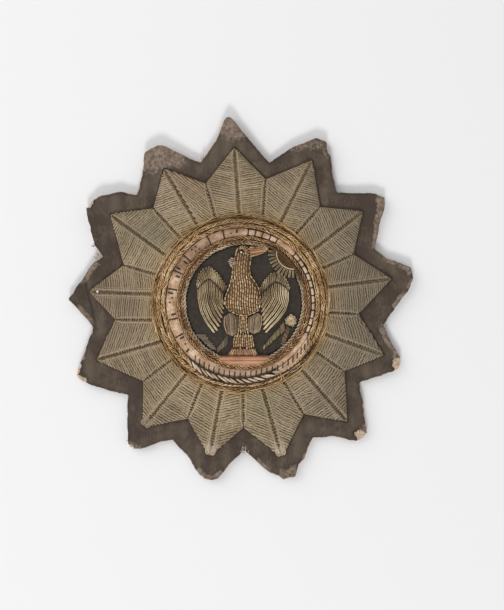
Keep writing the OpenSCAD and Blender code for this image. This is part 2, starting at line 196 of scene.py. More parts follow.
def cut_edge(step):
    """The cut edge as points a step apart, a little ragged as scissors leave it."""
    corners = [polar(*corner) for corner in EDGE]
    points = []
    for a, b in zip(corners, corners[1:] + corners[:1]):
        count = max(1, round((b - a).length / step))
        points += [a.lerp(b, k / count) for k in range(count)]
    around = zip(points[-1:] + points, points, points[1:] + points[:1])
    return [p * (1 + 0.003 * rough(p, 1.6)) for p in ((a + b * 2 + c) / 4 for a, b, c in around)]


def as_mesh(bm):
    """The shape as a mesh, its faces turned outwards."""
    bmesh.ops.recalc_face_normals(bm, faces=bm.faces)
    mesh = bpy.data.meshes.new("shape")
    bm.to_mesh(mesh)
    bm.free()
    return mesh


def star_mesh(rim, even_rim, levels):
    """A form of rings inside the rim. A level is how far it is drawn in, its share of the way from
    the flat middle (0) to the rim (1) or to the star's centre (-1), and a function for its height.
    The rings are drawn in square to the even rim."""
    outward = [left_of((b - a).normalized())
               for a, b in zip(even_rim[-1:] + even_rim, even_rim[1:] + even_rim[:1])]
    bm = bmesh.new()
    bmesh.ops.create_grid(bm, x_segments=len(rim), y_segments=len(levels) - 1, size=0.5)
    for v in bm.verts:
        i = round((v.co.x + 0.5) * len(rim)) % len(rim)
        inset, share, height = levels[round((v.co.y + 0.5) * (len(levels) - 1))]
        point = rim[i] - outward[i] * inset
        flat = point.normalized() * FLAT_R
        point = flat.lerp(point, share) if share >= 0 else flat * (1 + share)
        v.co = Vector((*point, height(point) + lift(*point))) * MM
    bmesh.ops.remove_doubles(bm, verts=bm.verts, dist=1e-7)
    return as_mesh(bm)


def piece(name, parts, slot, replaced=()):
    """Joins parts, each a mesh and its material, into one smooth piece of the star. It stands for
    the replaced nodes."""
    looks = []
    bm = bmesh.new()
    for mesh, look in parts:
        if look not in looks:
            looks.append(look)
        mesh.polygons.foreach_set("material_index", [looks.index(look)] * len(mesh.polygons))
        mesh.polygons.foreach_set("use_smooth", [True] * len(mesh.polygons))
        bm.from_mesh(mesh)
        bpy.data.meshes.remove(mesh)
    made = bpy.data.objects.new(name, bpy.data.meshes.new(name))
    bm.to_mesh(made.data)
    bm.free()
    for look in looks:
        made.data.materials.append(look)
    scene.collection.objects.link(made)
    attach(made, "root")
    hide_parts(*replaced)
    return made


# Pressed grey-cream card: matt, mottled, browner where dirt has rubbed into its worn corners
card_paper, tree = blank_material("yellowed_card")
place = node(tree, "TexCoord").outputs["Object"]
blotch = node(tree, "TexNoise", {"Vector": place, "Scale": 1 / (4.0 * MM), "Detail": 4.0})
speck = node(tree, "TexNoise", {"Vector": place, "Scale": 1 / (0.7 * MM), "Detail": 3.0})
both = node(tree, "Math", {0: blotch, 1: speck}, operation="ADD")
tone = node(tree, "MapRange", {"Value": both, "From Min": 0.72, "From Max": 1.2})
paint = node(tree, "Mix", {"Factor": tone, "A": srgb("#a08467"), "B": srgb("#d8c3ae")},
             data_type="RGBA")
relief = node(tree, "Bump", {"Height": speck, "Strength": 0.5, "Distance": 0.1 * MM})
node(tree, "OutputMaterial", {"Surface": node(tree, "BsdfPrincipled", {
    "Base Color": paint, "Roughness": 0.85, "Normal": relief})})

card_rim = cut_edge(1.2)
card_levels = [(0.45, share, lambda p: 0) for share in (-1, 0, 0.25, 0.5, 0.75, 1)]
card_levels += [(0.2, 1, lambda p: 0.3), (0.12, 1, lambda p: 1.0), (0.2, 1, lambda p: 1.6)]
card_levels += [(0.6, share, lambda p: CARD_TOP) for share in (1, 0.92, 0.8, 0.5, 0.25, 0, -1)]
piece("card", [(star_mesh(card_rim, card_rim, card_levels), card_paper)], "card", ["backing_card"])

# Ground silk: dull brown ribbed silk, glued over the card with its edge turned down over the
# card's edge. It is rubbed grey and frayed at the tips and gone from some of them.
SILK_TOP = 2.3
HEM_LOW = 0.3
# Rubbed places: middle, radius, how far they reach in from the edge, and for some the most that
# they are rubbed
RUBBED = [
    ((-1.8, 52.4), 5.3, 9), ((-24.6, 44.4), 6.8, 9), ((-19.6, 41.6), 3.4, 4),
    ((-29.4, 41.6), 4.0, 9), ((22.0, 47.6), 3.4, 3.2, 0.03), ((17.0, 45.6), 3.0, 1.8, 0.06),
    ((24.5, 43.8), 1.8, 1.4, 0.06), ((42.2, 28.9), 3.2, 2.3), ((40.8, 25.4), 3.2, 1.9),
    ((39.4, 21.4), 3.0, 1.4), ((48.4, 10.7), 2.6, 1.5), ((43.6, 12.6), 2.4, 1.2),
    ((50.5, 5.5), 2.2, 1.0), ((42.2, -8.6), 2.6, 1.7), ((43.4, -11.4), 2.2, 1.5),
    ((14.4, -50.4), 3.4, 2.4), ((6.3, -47.3), 2.6, 1.1), ((-9.5, -51.0), 4.6, 1.4),
    ((19.6, -44.8), 1.6, 1.0), ((-46.5, -15.5), 1.5, 0.8), ((-31.0, -42.0), 2.2, 1.0),
    ((36.0, -36.5), 1.6, 0.9), ((45.6, -15.0), 1.6, 1.0), ((46.4, 0.8), 3.0, 1.3),
    ((38.6, 17.6), 1.8, 1.1), ((-44.6, 9.6), 4.2, 1.6), ((-45.2, -3.6), 3.4, 1.4)]


def to_segment(p, a, b):
    """Distance from a point to a straight stretch."""
    step = b - a
    share = min(1, max(0, (p - a).dot(step) / step.length_squared))
    return (a + step * share - p).length


def off_the_bare(p):
    """A point of the silk's edge, drawn back to where the card is no longer bare."""
    for a, b, reach in BARE:
        ragged = reach * (1 + 0.35 * rough(p, 1.1) + 0.25 * rough(p, 0.5, 2))
        for _ in range(40):
            if to_segment(p, Vector(a), Vector(b)) >= ragged:
                break
            p = p - p.normalized() * 0.1
    return p


silk_rim = [p * (1 + 0.004 * rough(p, 0.8, 2) + 0.004 * rough(p, 2.2, 8)) for p in cut_edge(0.55)]
worn_rim = [off_the_bare(p) for p in silk_rim]
bare_points = [p for p, q in zip(worn_rim, silk_rim) if (p - q).length > 0.05]


def turned_down(height):
    """The height of the silk's turned edge, which ends over the card where that is bare."""
    def at(p):
        bare = any((p - q).length < 0.3 for q in bare_points)
        return max(height, CARD_TOP + 0.12) if bare else height
    return at


def silk_surface(p):
    """The silk's face: nearly flat, with faint waves, and a crease across the left ray's tip."""
    crease = p.x + 43.6 + 0.235 * p.y
    dent = 0.14 * math.exp(-(crease / 0.6) ** 2) if p.x < -40 and -7 < p.y < 9 else 0
    return SILK_TOP - 0.05 + 0.07 * rough(p, 4.0) + 0.04 * rough(p, 1.5) - dent


silk_levels = [(0, 1, turned_down(HEM_LOW)), (0, 1, turned_down(1.1)), (0, 1, turned_down(1.8)),
               (0.08, 1, turned_down(2.05)), (0.3, 1, lambda p: silk_surface(p) - 0.04)]
silk_levels += [(0.55, 1 - k / 24, silk_surface) for k in range(25)]
silk_levels += [(0.55, -0.4, silk_surface), (0.55, -1, silk_surface)]
silk_mesh = star_mesh(worn_rim, silk_rim, silk_levels)

# How rubbed the silk is, and how near its edge, at each corner of the mesh
rubbed = silk_mesh.attributes.new("rubbed", "FLOAT", "POINT")
near_edge = silk_mesh.attributes.new("near_edge", "FLOAT", "POINT")
edge_tree = kdtree.KDTree(len(worn_rim))
for i, p in enumerate(worn_rim):
    edge_tree.insert((p.x, p.y, 0), i)
edge_tree.balance()
for i, v in enumerate(silk_mesh.vertices):
    p = Vector((v.co.x, v.co.y)) / MM
    near = edge_tree.find((p.x, p.y, 0))[2]
    rubbed.data[i].value = max(min(1 - (p - Vector(middle)).length / radius, reach - near, *most)
                               for middle, radius, reach, *most in RUBBED)
    near_edge.data[i].value = near

# Ribbed brown silk: matt, ribs along y about 0.6 mm apart, rubbed patches paler and pinkish grey
# with ragged borders, painted shade darkening the pressed fold of its edge, and painted shade along
# a crease and over the bent flap beyond it
brown_silk, tree = blank_material("ribbed_brown_silk")
place = node(tree, "TexCoord").outputs["Object"]
ribs = node(tree, "TexWave", {"Vector": place, "Scale": 0.05 / (0.64 * MM), "Distortion": 1.5,
                              "Detail": 2.0, "Detail Scale": 1.5}).outputs["Fac"]
drawn_out = node(tree, "VectorMath", {0: place, 1: (1.0, 0.4, 1.0)}, operation="MULTIPLY")
weave = node(tree, "TexNoise", {"Vector": drawn_out, "Scale": 1 / (0.45 * MM), "Detail": 4.0})
fuzz = node(tree, "TexNoise", {"Vector": place, "Scale": 1 / (1.0 * MM), "Detail": 4.0,
                               "Roughness": 0.7})
cloud = node(tree, "TexNoise", {"Vector": place, "Scale": 1 / (7.0 * MM), "Detail": 4.0})
wear = node(tree, "Attribute", attribute_name="rubbed").outputs["Fac"]
rim_near = node(tree, "Attribute", attribute_name="near_edge").outputs["Fac"]
mottle = node(tree, "Mix", {"Factor": 0.7, "A": weave, "B": cloud})
dark = node(tree, "MapRange", {"Value": mottle, "From Min": 0.43, "From Max": 0.57})
ribbed = node(tree, "MapRange", {"Value": ribs, "To Min": 0.0, "To Max": 0.4})
patch = node(tree, "MapRange", {"Value": fuzz, "From Min": 0.4, "From Max": 0.62})
# The worn places, with ragged borders
ragged = node(tree, "Math", {0: fuzz, 1: 0.9, 2: -0.4}, operation="MULTIPLY_ADD")
ragged = node(tree, "Math", {0: wear, 1: ragged}, operation="ADD")
bare = node(tree, "MapRange", {"Value": ragged, "From Min": -0.05, "From Max": 0.25})
# Painted shade of the pressed fold: darkest 0.3 mm inside the edge, and faint where the silk is
# rubbed
fold_shade = node(tree, "MapRange", {"Value": rim_near, "From Min": 0.25, "From Max": 1.1,
                               "To Min": 0.55, "To Max": 0.0})
faint = node(tree, "Math", {0: bare, 1: -0.85, 2: 1.0}, operation="MULTIPLY_ADD")
fold_shade = node(tree, "Math", {0: fold_shade, 1: faint}, operation="MULTIPLY")
# Pale frayed threads along the very edge
close_by = node(tree, "MapRange", {"Value": rim_near, "From Min": 0.1, "From Max": 0.3,
                                   "To Min": 1.0, "To Max": 0.0})
frayed = node(tree, "MapRange", {"Value": mottle, "From Min": 0.5, "From Max": 0.56})
frayed = node(tree, "Math", {0: close_by, 1: frayed}, operation="MULTIPLY")
# Painted shade at the crease behind the left ray's tip, lighter over the bent flap beyond it: its
# distance along x and 0.235 of y, bent by noise
bend = node(tree, "VectorMath", {0: cloud.outputs["Color"], "Scale": 0.004}, operation="SCALE")
bend = node(tree, "VectorMath", {0: place, 1: bend}, operation="ADD")
off_crease = node(tree, "VectorMath", {0: bend, 1: (1.0, 0.235, 0.0)}, operation="DOT_PRODUCT")
off_crease = node(tree, "Math", {0: off_crease, 1: 41.1 * MM}, operation="ADD")
flap_shade = node(tree, "MapRange", {"Value": off_crease, "From Min": -0.6 * MM, "From Max": 0.2 * MM,
                               "To Min": 0.3, "To Max": 0.0})
crease = node(tree, "Math", {0: off_crease}, operation="ABSOLUTE")
crease = node(tree, "MapRange", {"Value": crease, "From Min": 0.15 * MM, "From Max": 0.8 * MM,
                                 "To Min": 1.0, "To Max": 0.0})
crease = node(tree, "Math", {0: crease, 1: flap_shade}, operation="MAXIMUM")
by_tip = node(tree, "VectorMath", {0: place, 1: (-45 * MM, 0.5 * MM, 2 * MM)},
              operation="DISTANCE")
by_tip = node(tree, "MapRange", {"Value": by_tip, "From Min": 5 * MM, "From Max": 9 * MM,
                                 "To Min": 0.7, "To Max": 0.0})
crease_shade = node(tree, "Math", {0: crease, 1: by_tip}, operation="MULTIPLY")
pale = node(tree, "Mix", {"Factor": patch, "A": srgb("#645447"), "B": srgb("#917f6f")},
            data_type="RGBA")
paint = srgb("#43352a")
for share, colour in ((dark, srgb("#5e5142")), (ribbed, srgb("#3b2f26")), (bare, pale),
                      (fold_shade, srgb("#2a211b")), (frayed, srgb("#a39183")),
                      (crease_shade, srgb("#1f1814"))):
    paint = node(tree, "Mix", {"Factor": share, "A": paint, "B": colour}, data_type="RGBA")
relief = node(tree, "Math", {0: ribs, 1: weave}, operation="ADD")
relief = node(tree, "Bump", {"Height": relief, "Strength": 0.6, "Distance": 0.08 * MM})
node(tree, "OutputMaterial", {"Surface": node(tree, "BsdfPrincipled", {
    "Base Color": paint, "Roughness": 0.8, "Sheen Weight": 0.08, "Sheen Roughness": 0.5,
    "Normal": relief})})
silk = piece("brown_silk", [(silk_mesh, brown_silk)], "brown_silk", ["ground_silk"])
thickness = silk.modifiers.new("silk_thickness", "SOLIDIFY")
thickness.thickness = 0.28 * MM
thickness.offset = -1

# Rays: each is a roof of felt padding covered with laid silver thread. The threads run across each
# flank from the valley to a sunken seam, and a pale cord lies on each side of the seam.

# Height of the silk, radius of the rays' feet, height of their padding and the share of it that is
# lost towards the tip, the seam, and the laid threads
SEAT = 2.4
FOOT_R = 25.6
RAY_H = 1.5
TIP_FALL = 0.35
SEAM_DEPTH = 0.75
SEAM_HALF = 0.5
THREAD_PITCH = 0.62
THREAD_R = 0.33
# Distance between the laid threads and how far they sway, on most rays and on the wavy ones
FINE_THREADS = (THREAD_PITCH, 0.26)
WAVY_THREADS = (0.7, 0.36)
# How far the laid threads run into the valley, and stop short of the seam
INTO_VALLEY = 0.14
OFF_SEAM = 0.3
# The cords: how far off the seam or valley, their radius, and the share of its length they reach
SEAM_CORD = (0.86, 0.36, 0.96)
THIN_CORD = (1.42, 0.2, 0.85)
VALLEY_CORD = (0.8, 0.34, 0.97)
CORD_STEP = 0.35
CORD_STITCH = 1.5
# The rays, clockwise from the top: angle of the seam's foot, angle and radius of the tip, then of
# the valley after the ray the angle of its foot and the angle and radius of its end
RAYS = [
    (90.7, 92.3, 44.8, 75.3, 78.5, 36.4), (63.5, 63.4, 46.0, 51.2, 50.4, 36.0),
    (36.2, 36.8, 44.0, 22.9, 23.3, 35.5), (10.4, 9.1, 44.1, 354.0, 354.6, 34.2),
    (339.9, 340.0, 44.0, 327.2, 326.7, 35.9), (312.6, 312.0, 46.0, 298.9, 299.6, 36.9),
    (284.4, 285.1, 46.0, 271.7, 271.3, 36.0), (258.0, 258.5, 45.1, 244.2, 245.4, 36.8),
    (232.6, 231.8, 45.5, 219.5, 218.8, 36.1), (205.8, 201.6, 44.8, 191.0, 187.6, 36.5),
    (174.2, 175.7, 43.8, 161.3, 162.0, 35.5), (147.5, 145.8, 45.4, 132.6, 132.7, 37.2),
    (118.8, 119.7, 44.5, 106.5, 106.3, 35.9)]
# Direction of the laid threads on the two flanks of each ray, in degrees
LAY = [(168, 10), (140, 165), (112, 138), (78, 94), (106, 64), (52, 33), (154, 158), (14, 150),
       (150, 128), (118, 70), (84, 96), (62, 44), (20, 142)]
# Rays whose threads are coarser and wavier, and rays whose cords end in loops
WAVY = (4, 5, 6, 7, 8)
LOOPED = (6, 7, 8)
# Rise of a flank: its share of the way from the edge to the seam, and share of the full height
FLANK = [(0.0, 0.30), (0.1, 0.52), (0.25, 0.72), (0.62, 0.92), (1.0, 1.0)]


def seat(x, y):
    """Height of the silk that the embroidery lies on."""
    return SEAT + lift(x, y)


def spread(a, b, count):
    """The values from a to b in a number of equal steps."""
    return [mix(a, b, k / count) for k in range(count + 1)]


def unit_left(step):
    """The direction of a step, and the direction to its left."""
    step = step.normalized()
    return step, left_of(step)


class Flank:
    """One flank of a ray: its foot at the valley, valley's end, tip, and foot at the seam."""

    def __init__(self, valley_foot, valley_end, tip, seam_foot):
        self.corners = [valley_foot, valley_end, tip, seam_foot]
        self.middle = sum(self.corners, Vector((0, 0))) / 4
        self.axis, side = unit_left(tip - seam_foot)
        self.knee = (valley_end - seam_foot).dot(self.axis)
        self.length = (tip - seam_foot).length
        side *= math.copysign(1, side.dot(valley_end - seam_foot))
        self.laid = [valley_foot - side * INTO_VALLEY, valley_end - side * INTO_VALLEY,
                     tip + side * OFF_SEAM, seam_foot + side * OFF_SEAM]

    def height(self, p):
        """Height of the padding over the silk."""
        a, b, tip, foot = self.corners
        to_edge = min(to_segment(p, a, b), to_segment(p, b, tip))
        to_seam = to_segment(p, foot, tip)
        rise = read_off(FLANK, to_edge / max(to_edge + to_seam, 1e-6))[0] * RAY_H
        along = ((p - foot).dot(self.axis) - self.knee) / (self.length - self.knee)
        rise *= 1 - TIP_FALL * min(1, max(0, along))
        groove = SEAM_DEPTH * max(0, 1 - to_seam / SEAM_HALF)
        return max(0.12, rise - groove * min(1, rise))

    def clip(self, start, step):
        """The two ends of a straight line inside the flank, or None."""
        low, high = -1e9, 1e9
        for a, b in zip(self.laid, self.laid[1:] + self.laid[:1]):
            normal = left_of(b - a)
            if normal.dot(self.middle - a) < 0:
                normal = -normal
            speed, gap = normal.dot(step), normal.dot(start - a)
            if abs(speed) < 1e-9:
                if gap < 0:
                    return None
            elif speed > 0:
                low = max(low, -gap / speed)
            else:
                high = min(high, -gap / speed)
        return (low, high) if high - low > 0.9 else None


def threads(paths, radius, look, closed=False, sides=1):
    """Round threads of one look, along paths of x, y, z and, if wanted, a share of the radius, in
    millimetres."""
    curve = bpy.data.curves.new("threads", "CURVE")
    curve.dimensions = "3D"
    curve.bevel_depth = radius * MM
    curve.bevel_resolution = sides
    curve.use_fill_caps = not closed
    for path in paths:
        spline = curve.splines.new("POLY")
        spline.points.add(len(path) - 1)
        spline.use_cyclic_u = closed
        for point, (x, y, z, *share) in zip(spline.points, path):
            point.co = (x * MM, y * MM, z * MM, 1)
            point.radius = share[0] if share else 1
    carrier = bpy.data.objects.new("threads", curve)
    mesh = bpy.data.meshes.new_from_object(carrier)
    bpy.data.objects.remove(carrier)
    bpy.data.curves.remove(curve)
    return mesh, look


def stuffed(columns, rows, top, floor):
    """A closed stuffed form: a grid goes to top(u, v), which gives x, y and z, and it is closed
    underneath at floor(x, y)."""
    bm = bmesh.new()
    bmesh.ops.create_grid(bm, x_segments=columns, y_segments=rows, size=0.5)
    for v in bm.verts:
        v.co = top(v.co.x + 0.5, v.co.y + 0.5)
    under = bmesh.ops.extrude_face_region(bm, geom=bm.faces[:])["geom"]
    for v in under:
        if isinstance(v, bmesh.types.BMVert):
            v.co.z = floor(v.co.x, v.co.y)
    bmesh.ops.scale(bm, vec=(MM, MM, MM), verts=bm.verts)
    return as_mesh(bm)


def thread_material(name, tones, roughness, metallic=0.0, patch=6.0, fleck=0.5, own=0.35,
                    grain=0.35, sheen=0.0, depth=0.06, stains=()):
    """Thread of some tones, dark to light. patch and fleck are the sizes in millimetres of its slow
    and quick changes of tone, own and grain the shares of each thread's own tone and of the flecks.
    A stain is its place, the radii where it starts to fade and ends, its colour and strength."""
    made, tree = blank_material(name)
    place = node(tree, "TexCoord").outputs["Object"]
    slow = node(tree, "TexNoise", {"Vector": place, "Scale": 1 / (patch * MM), "Detail": 2.0})
    quick = node(tree, "TexNoise", {"Vector": place, "Scale": 1 / (fleck * MM), "Detail": 2.0})
    each = node(tree, "NewGeometry").outputs["Random Per Island"]
    part = node(tree, "Mix", {"Factor": grain, "A": slow, "B": quick})
    part = node(tree, "MapRange", {"Value": part, "From Min": 0.36, "From Max": 0.64})
    tone = node(tree, "Mix", {"Factor": own, "A": part, "B": each})
    paint = node(tree, "ValToRGB", {"Fac": tone})
    stops = paint.color_ramp.elements
    while len(stops) < len(tones):
        stops.new(0.5)
    for k, colour in enumerate(tones):
        stops[k].position = k / (len(tones) - 1)
        stops[k].color = srgb(colour)
    for x, y, full, end, colour, strength in stains:
        away = node(tree, "VectorMath", {0: place, 1: (x * MM, y * MM, 3 * MM)},
                    operation="DISTANCE")
        within = node(tree, "MapRange", {"Value": away, "From Min": full * MM,
                                         "From Max": end * MM, "To Min": strength, "To Max": 0.0})
        paint = node(tree, "Mix", {"Factor": within, "A": paint, "B": srgb(colour)},
                     data_type="RGBA")
    relief = node(tree, "Bump", {"Height": quick, "Strength": 0.7, "Distance": depth * MM})
    node(tree, "OutputMaterial", {"Surface": node(tree, "BsdfPrincipled", {
        "Base Color": paint, "Roughness": roughness, "Metallic": metallic,
        "Sheen Weight": sheen, "Normal": relief})})
    return made


# Tarnished silver thread: a satin metal glint, olive grey, warmer by the gold cords and at the
# upper left, with a few greenish and pinkish stains, and greyer and darker to the right, which is
# painted shade
silver_thread = thread_material(
    "tarnished_silver_thread", ["#6a5b48", "#b3a083"], 0.5, 0.3, patch=7.0, fleck=0.45, grain=0.6,
    depth=0.08, stains=[
        # The second stain on the next line, centred 70 mm to the right, is painted shade over the
        # right-hand rays
        (0, 0, 27, 44, "#c4af8c", 0.3), (70, 0, 30, 75, "#736a5d", 0.6),
        (-8, -29, 6, 17, "#cdb894", 0.12), (-38, -4, 5, 18, "#857362", 0.5),
        (-30, 22, 4, 12, "#867963", 0.3), (0, 0, 26, 30, "#9f8153", 0.4),
        (-24.8, 19.7, 0, 6, "#7f8268", 0.5), (6.5, -28.1, 0, 6, "#7f8462", 0.5),
        (-15.2, 35.4, 0, 6, "#ab8a72", 0.5), (-36, 12, 0, 7, "#a8906f", 0.5),
        (11.6, -42.9, 1, 3.5, "#cdbfa8", 0.6), (-8.7, -42.7, 1, 3.5, "#cdbfa8", 0.6)])
# Felt under the threads, which shows only as the shade between them
felt = thread_material("brown_felt", ["#65573f", "#877659"], 0.95)
# Brown thread sunk in the seams
seam_thread = thread_material("brown_seam_thread", ["#57432f", "#846a4d"], 0.9)
# Dark brown thread, for the real stitches in the notches, and as painted shade just outside the
# padding's edges and on the wings' padding between their loops
shade_and_notch_thread = thread_material("painted_shade_and_notch_thread", ["#2c2117", "#4b3b2b"], 0.9)


def lay_threads(flank, direction, pitch, wave, rng):
    """Wavy threads side by side across a flank."""
    step, side = unit_left(polar(direction, 1))
    offsets = [side.dot(corner) for corner in flank.corners]
    at = min(offsets) + pitch * rng.uniform(0.3, 0.7)
    paths = []
    while at < max(offsets):
        start = side * at
        ends = flank.clip(start, step)
        at += pitch * rng.uniform(0.86, 1.14)
        if not ends:
            continue
        low, high = ends[0] + 0.02, ends[1] - 0.02
        deep = rng.uniform(-0.08, 0.06)
        thick = rng.uniform(0.84, 1.1) * pitch / THREAD_PITCH
        count = max(3, round((high - low) / 0.4))
        path = []
        for k, along in enumerate(spread(low, high, count)):
            place = (along, at + direction)
            phase = 3.6 * along + 6 * rough(place, 3.0, 2)
            sway = wave * max(0.25, rough(place, 4.0, 7)) * math.sin(phase)
            sway += 0.25 * rough(place, 4.0) + 0.1 * rough(place, 1.0, 3)
            p = start + step * along + side * sway
            rise = flank.height(p) + THREAD_R * 0.1 + 0.16 * rough((along, at * 3), 1.4, 4) + deep
            swell = thick * (1 + 0.3 * rough((along, at * 5), 1.1, 9))
            path.append((*p, seat(*p) + rise, (1 if 0 < k < count else 0.8) * swell))
        paths.append(path)
    return paths


def beside(flank, a, b, off, radius, stop):
    """A cord a little way off the line from a to b, on the flank's side of it, couched down so that
    it swells between its stitches."""
    side = unit_left(b - a)[1]
    if side.dot(flank.middle - a) < 0:
        side = -side
    length = (b - a).length
    count = round(length * stop / CORD_STEP)
    path = []
    for k in range(count + 1):
        reached = stop * k / count
        aside = off * min(1, 0.35 + (1 - reached) * length / 3)
        aside += 0.14 * rough((k * CORD_STEP, off + a.x), 2.0, 3)
        p = a + (b - a) * reached + side * aside
        swell = 0.7 + 0.4 * abs(math.sin(k * CORD_STEP / CORD_STITCH * math.pi))
        path.append((*p, seat(*p) + flank.height(p) + radius * 0.2, swell))
    return path


for k, (seam_a, tip_a, tip_r, valley_a, end_a, end_r) in enumerate(RAYS):
    rng = random.Random(100 + k)
    before = RAYS[k - 1]
    seam_foot, tip = polar(seam_a, FOOT_R), polar(tip_a, tip_r)
    flanks = [Flank(polar(before[3], FOOT_R), polar(before[4], before[5]), tip, seam_foot),
              Flank(polar(valley_a, FOOT_R), polar(end_a, end_r), tip, seam_foot)]

    def roof(u, v):
        """The padding's face, from the first valley (u 0) over the seam to the second (u 1), and
        from the foot (v 0) past the valley's end (v 0.5) to the tip."""
        flank = flanks[u > 0.5]
        a, b, end, foot = flank.corners
        share = 1 - (1 - abs(u - 0.5) * 2) ** 1.3
        knee = flank.knee / flank.length
        if v < 0.5:
            edge, middle = mix(a, b, v / 0.5), mix(foot, end, knee * v / 0.5)
        else:
            along = 0.96 * (v - 0.5) / 0.5
            edge, middle = mix(b, end, along), mix(foot, end, mix(knee, 1, along))
        p = mix(middle, edge, share * 0.985)
        return *p, seat(*p) + flank.height(p) - 0.02

    laid, cords, loops, turns, seam, edge_shade_and_notch = [], [], [], [], [], []
    for flank, direction in zip(flanks, LAY[k]):
        laid += lay_threads(flank, direction, *(WAVY_THREADS if k in WAVY else FINE_THREADS), rng)
        a, b, end, foot = flank.corners
        thin = [(x, y, z, 0.6 * swell) for x, y, z, swell in beside(flank, foot, end, *THIN_CORD)]
        cords += [beside(flank, foot, end, *SEAM_CORD), thin, beside(flank, a, b, *VALLEY_CORD)]
        # At some tips the cord turns back on itself in a filled loop
        side = left_of(flank.axis)
        side *= math.copysign(1, side.dot(flank.middle - foot))
        hub = end - flank.axis * 1.7 + side * 0.72
        for long, wide in ((1.3, 0.66), (0.85, 0.28)) if k in LOOPED else ():
            oval = [hub + flank.axis * long * math.cos(turn) + side * wide * math.sin(turn)
                    for turn in (j / 8 * math.pi for j in range(16))]
            loops.append([(*p, seat(*p) + max(0.5, flank.height(p)) + 0.25) for p in oval])
        # A thread turns the laid ones along the outer edge, and dark thread just outside the
        # padding's edge is painted shade
        inward = ((a + foot) / 2 - mix(b, end, 0.5)).normalized() * 0.12
        turns.append([(*(p + inward), seat(*p) + 0.42) for p in spread(b, end, 24)])
        rim = [p - inward * (1.9 + 1.2 * rough(p, 1.2, 5)) for p in spread(b, end, 30)]
        edge_shade_and_notch.append([(*p, seat(*p) + 0.12, 1.4 + 0.6 * rough(p, 1.5)) for p in rim])
        seam.append([(*p, seat(*p) + 0.58, 1.2 + 0.5 * rough(p, 1.0, 2)) for p in spread(a, b, 24)])
    middle_line = []
    for j in range(41):
        p = mix(seam_foot, tip, j / 40 * 0.98)
        p = p + left_of(flanks[0].axis) * 0.14 * rough(p, 1.6, 6)
        middle_line.append((*p, seat(*p) + flanks[0].height(p) + 0.3, 1.5 + 0.5 * rough(p, 1.0, 2)))
    seam.append(middle_line)
    # A dark stitch sits in the notch at the valley's end
    edge_shade_and_notch.append([(*polar(end_a + bend, end_r + out), seat(*flanks[1].corners[1]) + 0.35, 2)
                   for out, bend in ((-0.3, 0), (0.2, 0.4), (0.7, 0))])
    name = "ray_%02d" % (k + 1)
    piece(name + "_embroidery", [
        (stuffed(20, 18, roof, seat), felt), threads(laid, THREAD_R, silver_thread),
        threads(cords, 0.38, silver_thread), threads(loops, 0.27, silver_thread, closed=True),
        threads(turns, 0.2, silver_thread), threads(seam, 0.19, seam_thread),
        threads(edge_shade_and_notch, 0.19, shade_and_notch_thread)], "silver_thread", [name])

# Gold cords round the medallion: two thick cords, each of five gilt strands twisted by hand, whose
# twists run opposite ways, and a thinner gilt cord round them, all couched down on string.
OUTER_Z = SEAT + 1.6
EDGE_R = 24.95


def ring_rope(x, radius, height, strands, throw, pitch, sense, seed, span=(0, 360), per_turn=10):
    """The strands of a twisted cord laid round x on a radius, as paths. throw is how far a strand
    is from the cord's middle, pitch the length of one turn of the twist."""
    length = math.radians(span[1] - span[0]) * radius
    turns = round(length / pitch)
    closed = span == (0, 360)
    count = turns * per_turn
    paths = []
    for strand in range(strands):
        path = []
        for k in range(count + (not closed)):
            way = polar(mix(*span, k / count), 1)
            p = way * radius
            loose = 0.16 * rough(p, 3.0, seed)
            own = throw * (1 + 0.45 * rough(p, 2.2, seed + 2 + strand))
            twist = sense * 2 * math.pi * turns * k / count + 2 * math.pi * strand / strands
            twist += 0.6 * rough(p, 4.0, seed + 1) + 0.3 * rough(p, 1.5, seed + strand)
            r = radius + loose + own * math.cos(twist)
            path.append((x + r * way.x, r * way.y, height + 0.6 * loose + own * math.sin(twist)))
        paths.append(path)
    return paths


def core_ring(x, radius, half, low, high):
    """A string core under a cord, round x on a radius."""
    bm = bmesh.new()
    corners = [(-half, low), (half, low), (half, high - half * 0.6), (half * 0.4, high),
               (-half * 0.4, high), (-half, high - half * 0.6)]
    ring = [bm.verts.new((radius + across, 0, z)) for across, z in corners]
    edges = [bm.edges.new(pair) for pair in zip(ring, ring[1:] + ring[:1])]
    bmesh.ops.spin(bm, geom=ring + edges, cent=(0, 0, 0), axis=(0, 0, 1), angle=2 * math.pi,
                   steps=120, use_merge=True, use_normal_flip=False, use_duplicate=False)
    bmesh.ops.translate(bm, vec=(x, 0, 0), verts=bm.verts)
    bmesh.ops.scale(bm, vec=(MM, MM, MM), verts=bm.verts)
    return as_mesh(bm), string_core


# Gilt strand: dull old gold, pale where it is rubbed, with brown tarnish in the hollows, and
# darkened at the top of the ring by painted shade
gilt_strand = thread_material("tarnished_gilt_strand", ["#6a4320", "#c09966", "#ffebc6"], 0.4, 0.35,
                              patch=3.0, fleck=0.6, own=0.3, grain=0.6,
                              stains=[(0, 26, 5, 14, "#6a4a2c", 0.45)])
# Fine flat gilt thread, yellower and brighter, darkened at the top of the ring by painted shade,
# and brown string under the cords
yellow_gilt = thread_material("yellow_gilt_thread", ["#76552f", "#bf9864", "#f2d9ac"], 0.45, 0.3,
                              fleck=0.7, own=0.5, stains=[(0, 26, 6, 16, "#66522c", 0.55)])
string_core = thread_material("brown_string", ["#3c2511", "#654321"], 0.95)
# Where stitches at the medallion's foot lie over the inner one of the two thick cords
FOOT_WORK = (228, 332)


def under_stitches(x, y):
    """1 where those stitches lie over the cord, and 0 away from them."""
    angle = math.degrees(math.atan2(y, x)) % 360
    return min(1, max(0, min(angle - FOOT_WORK[0], FOOT_WORK[1] - angle) / 4))


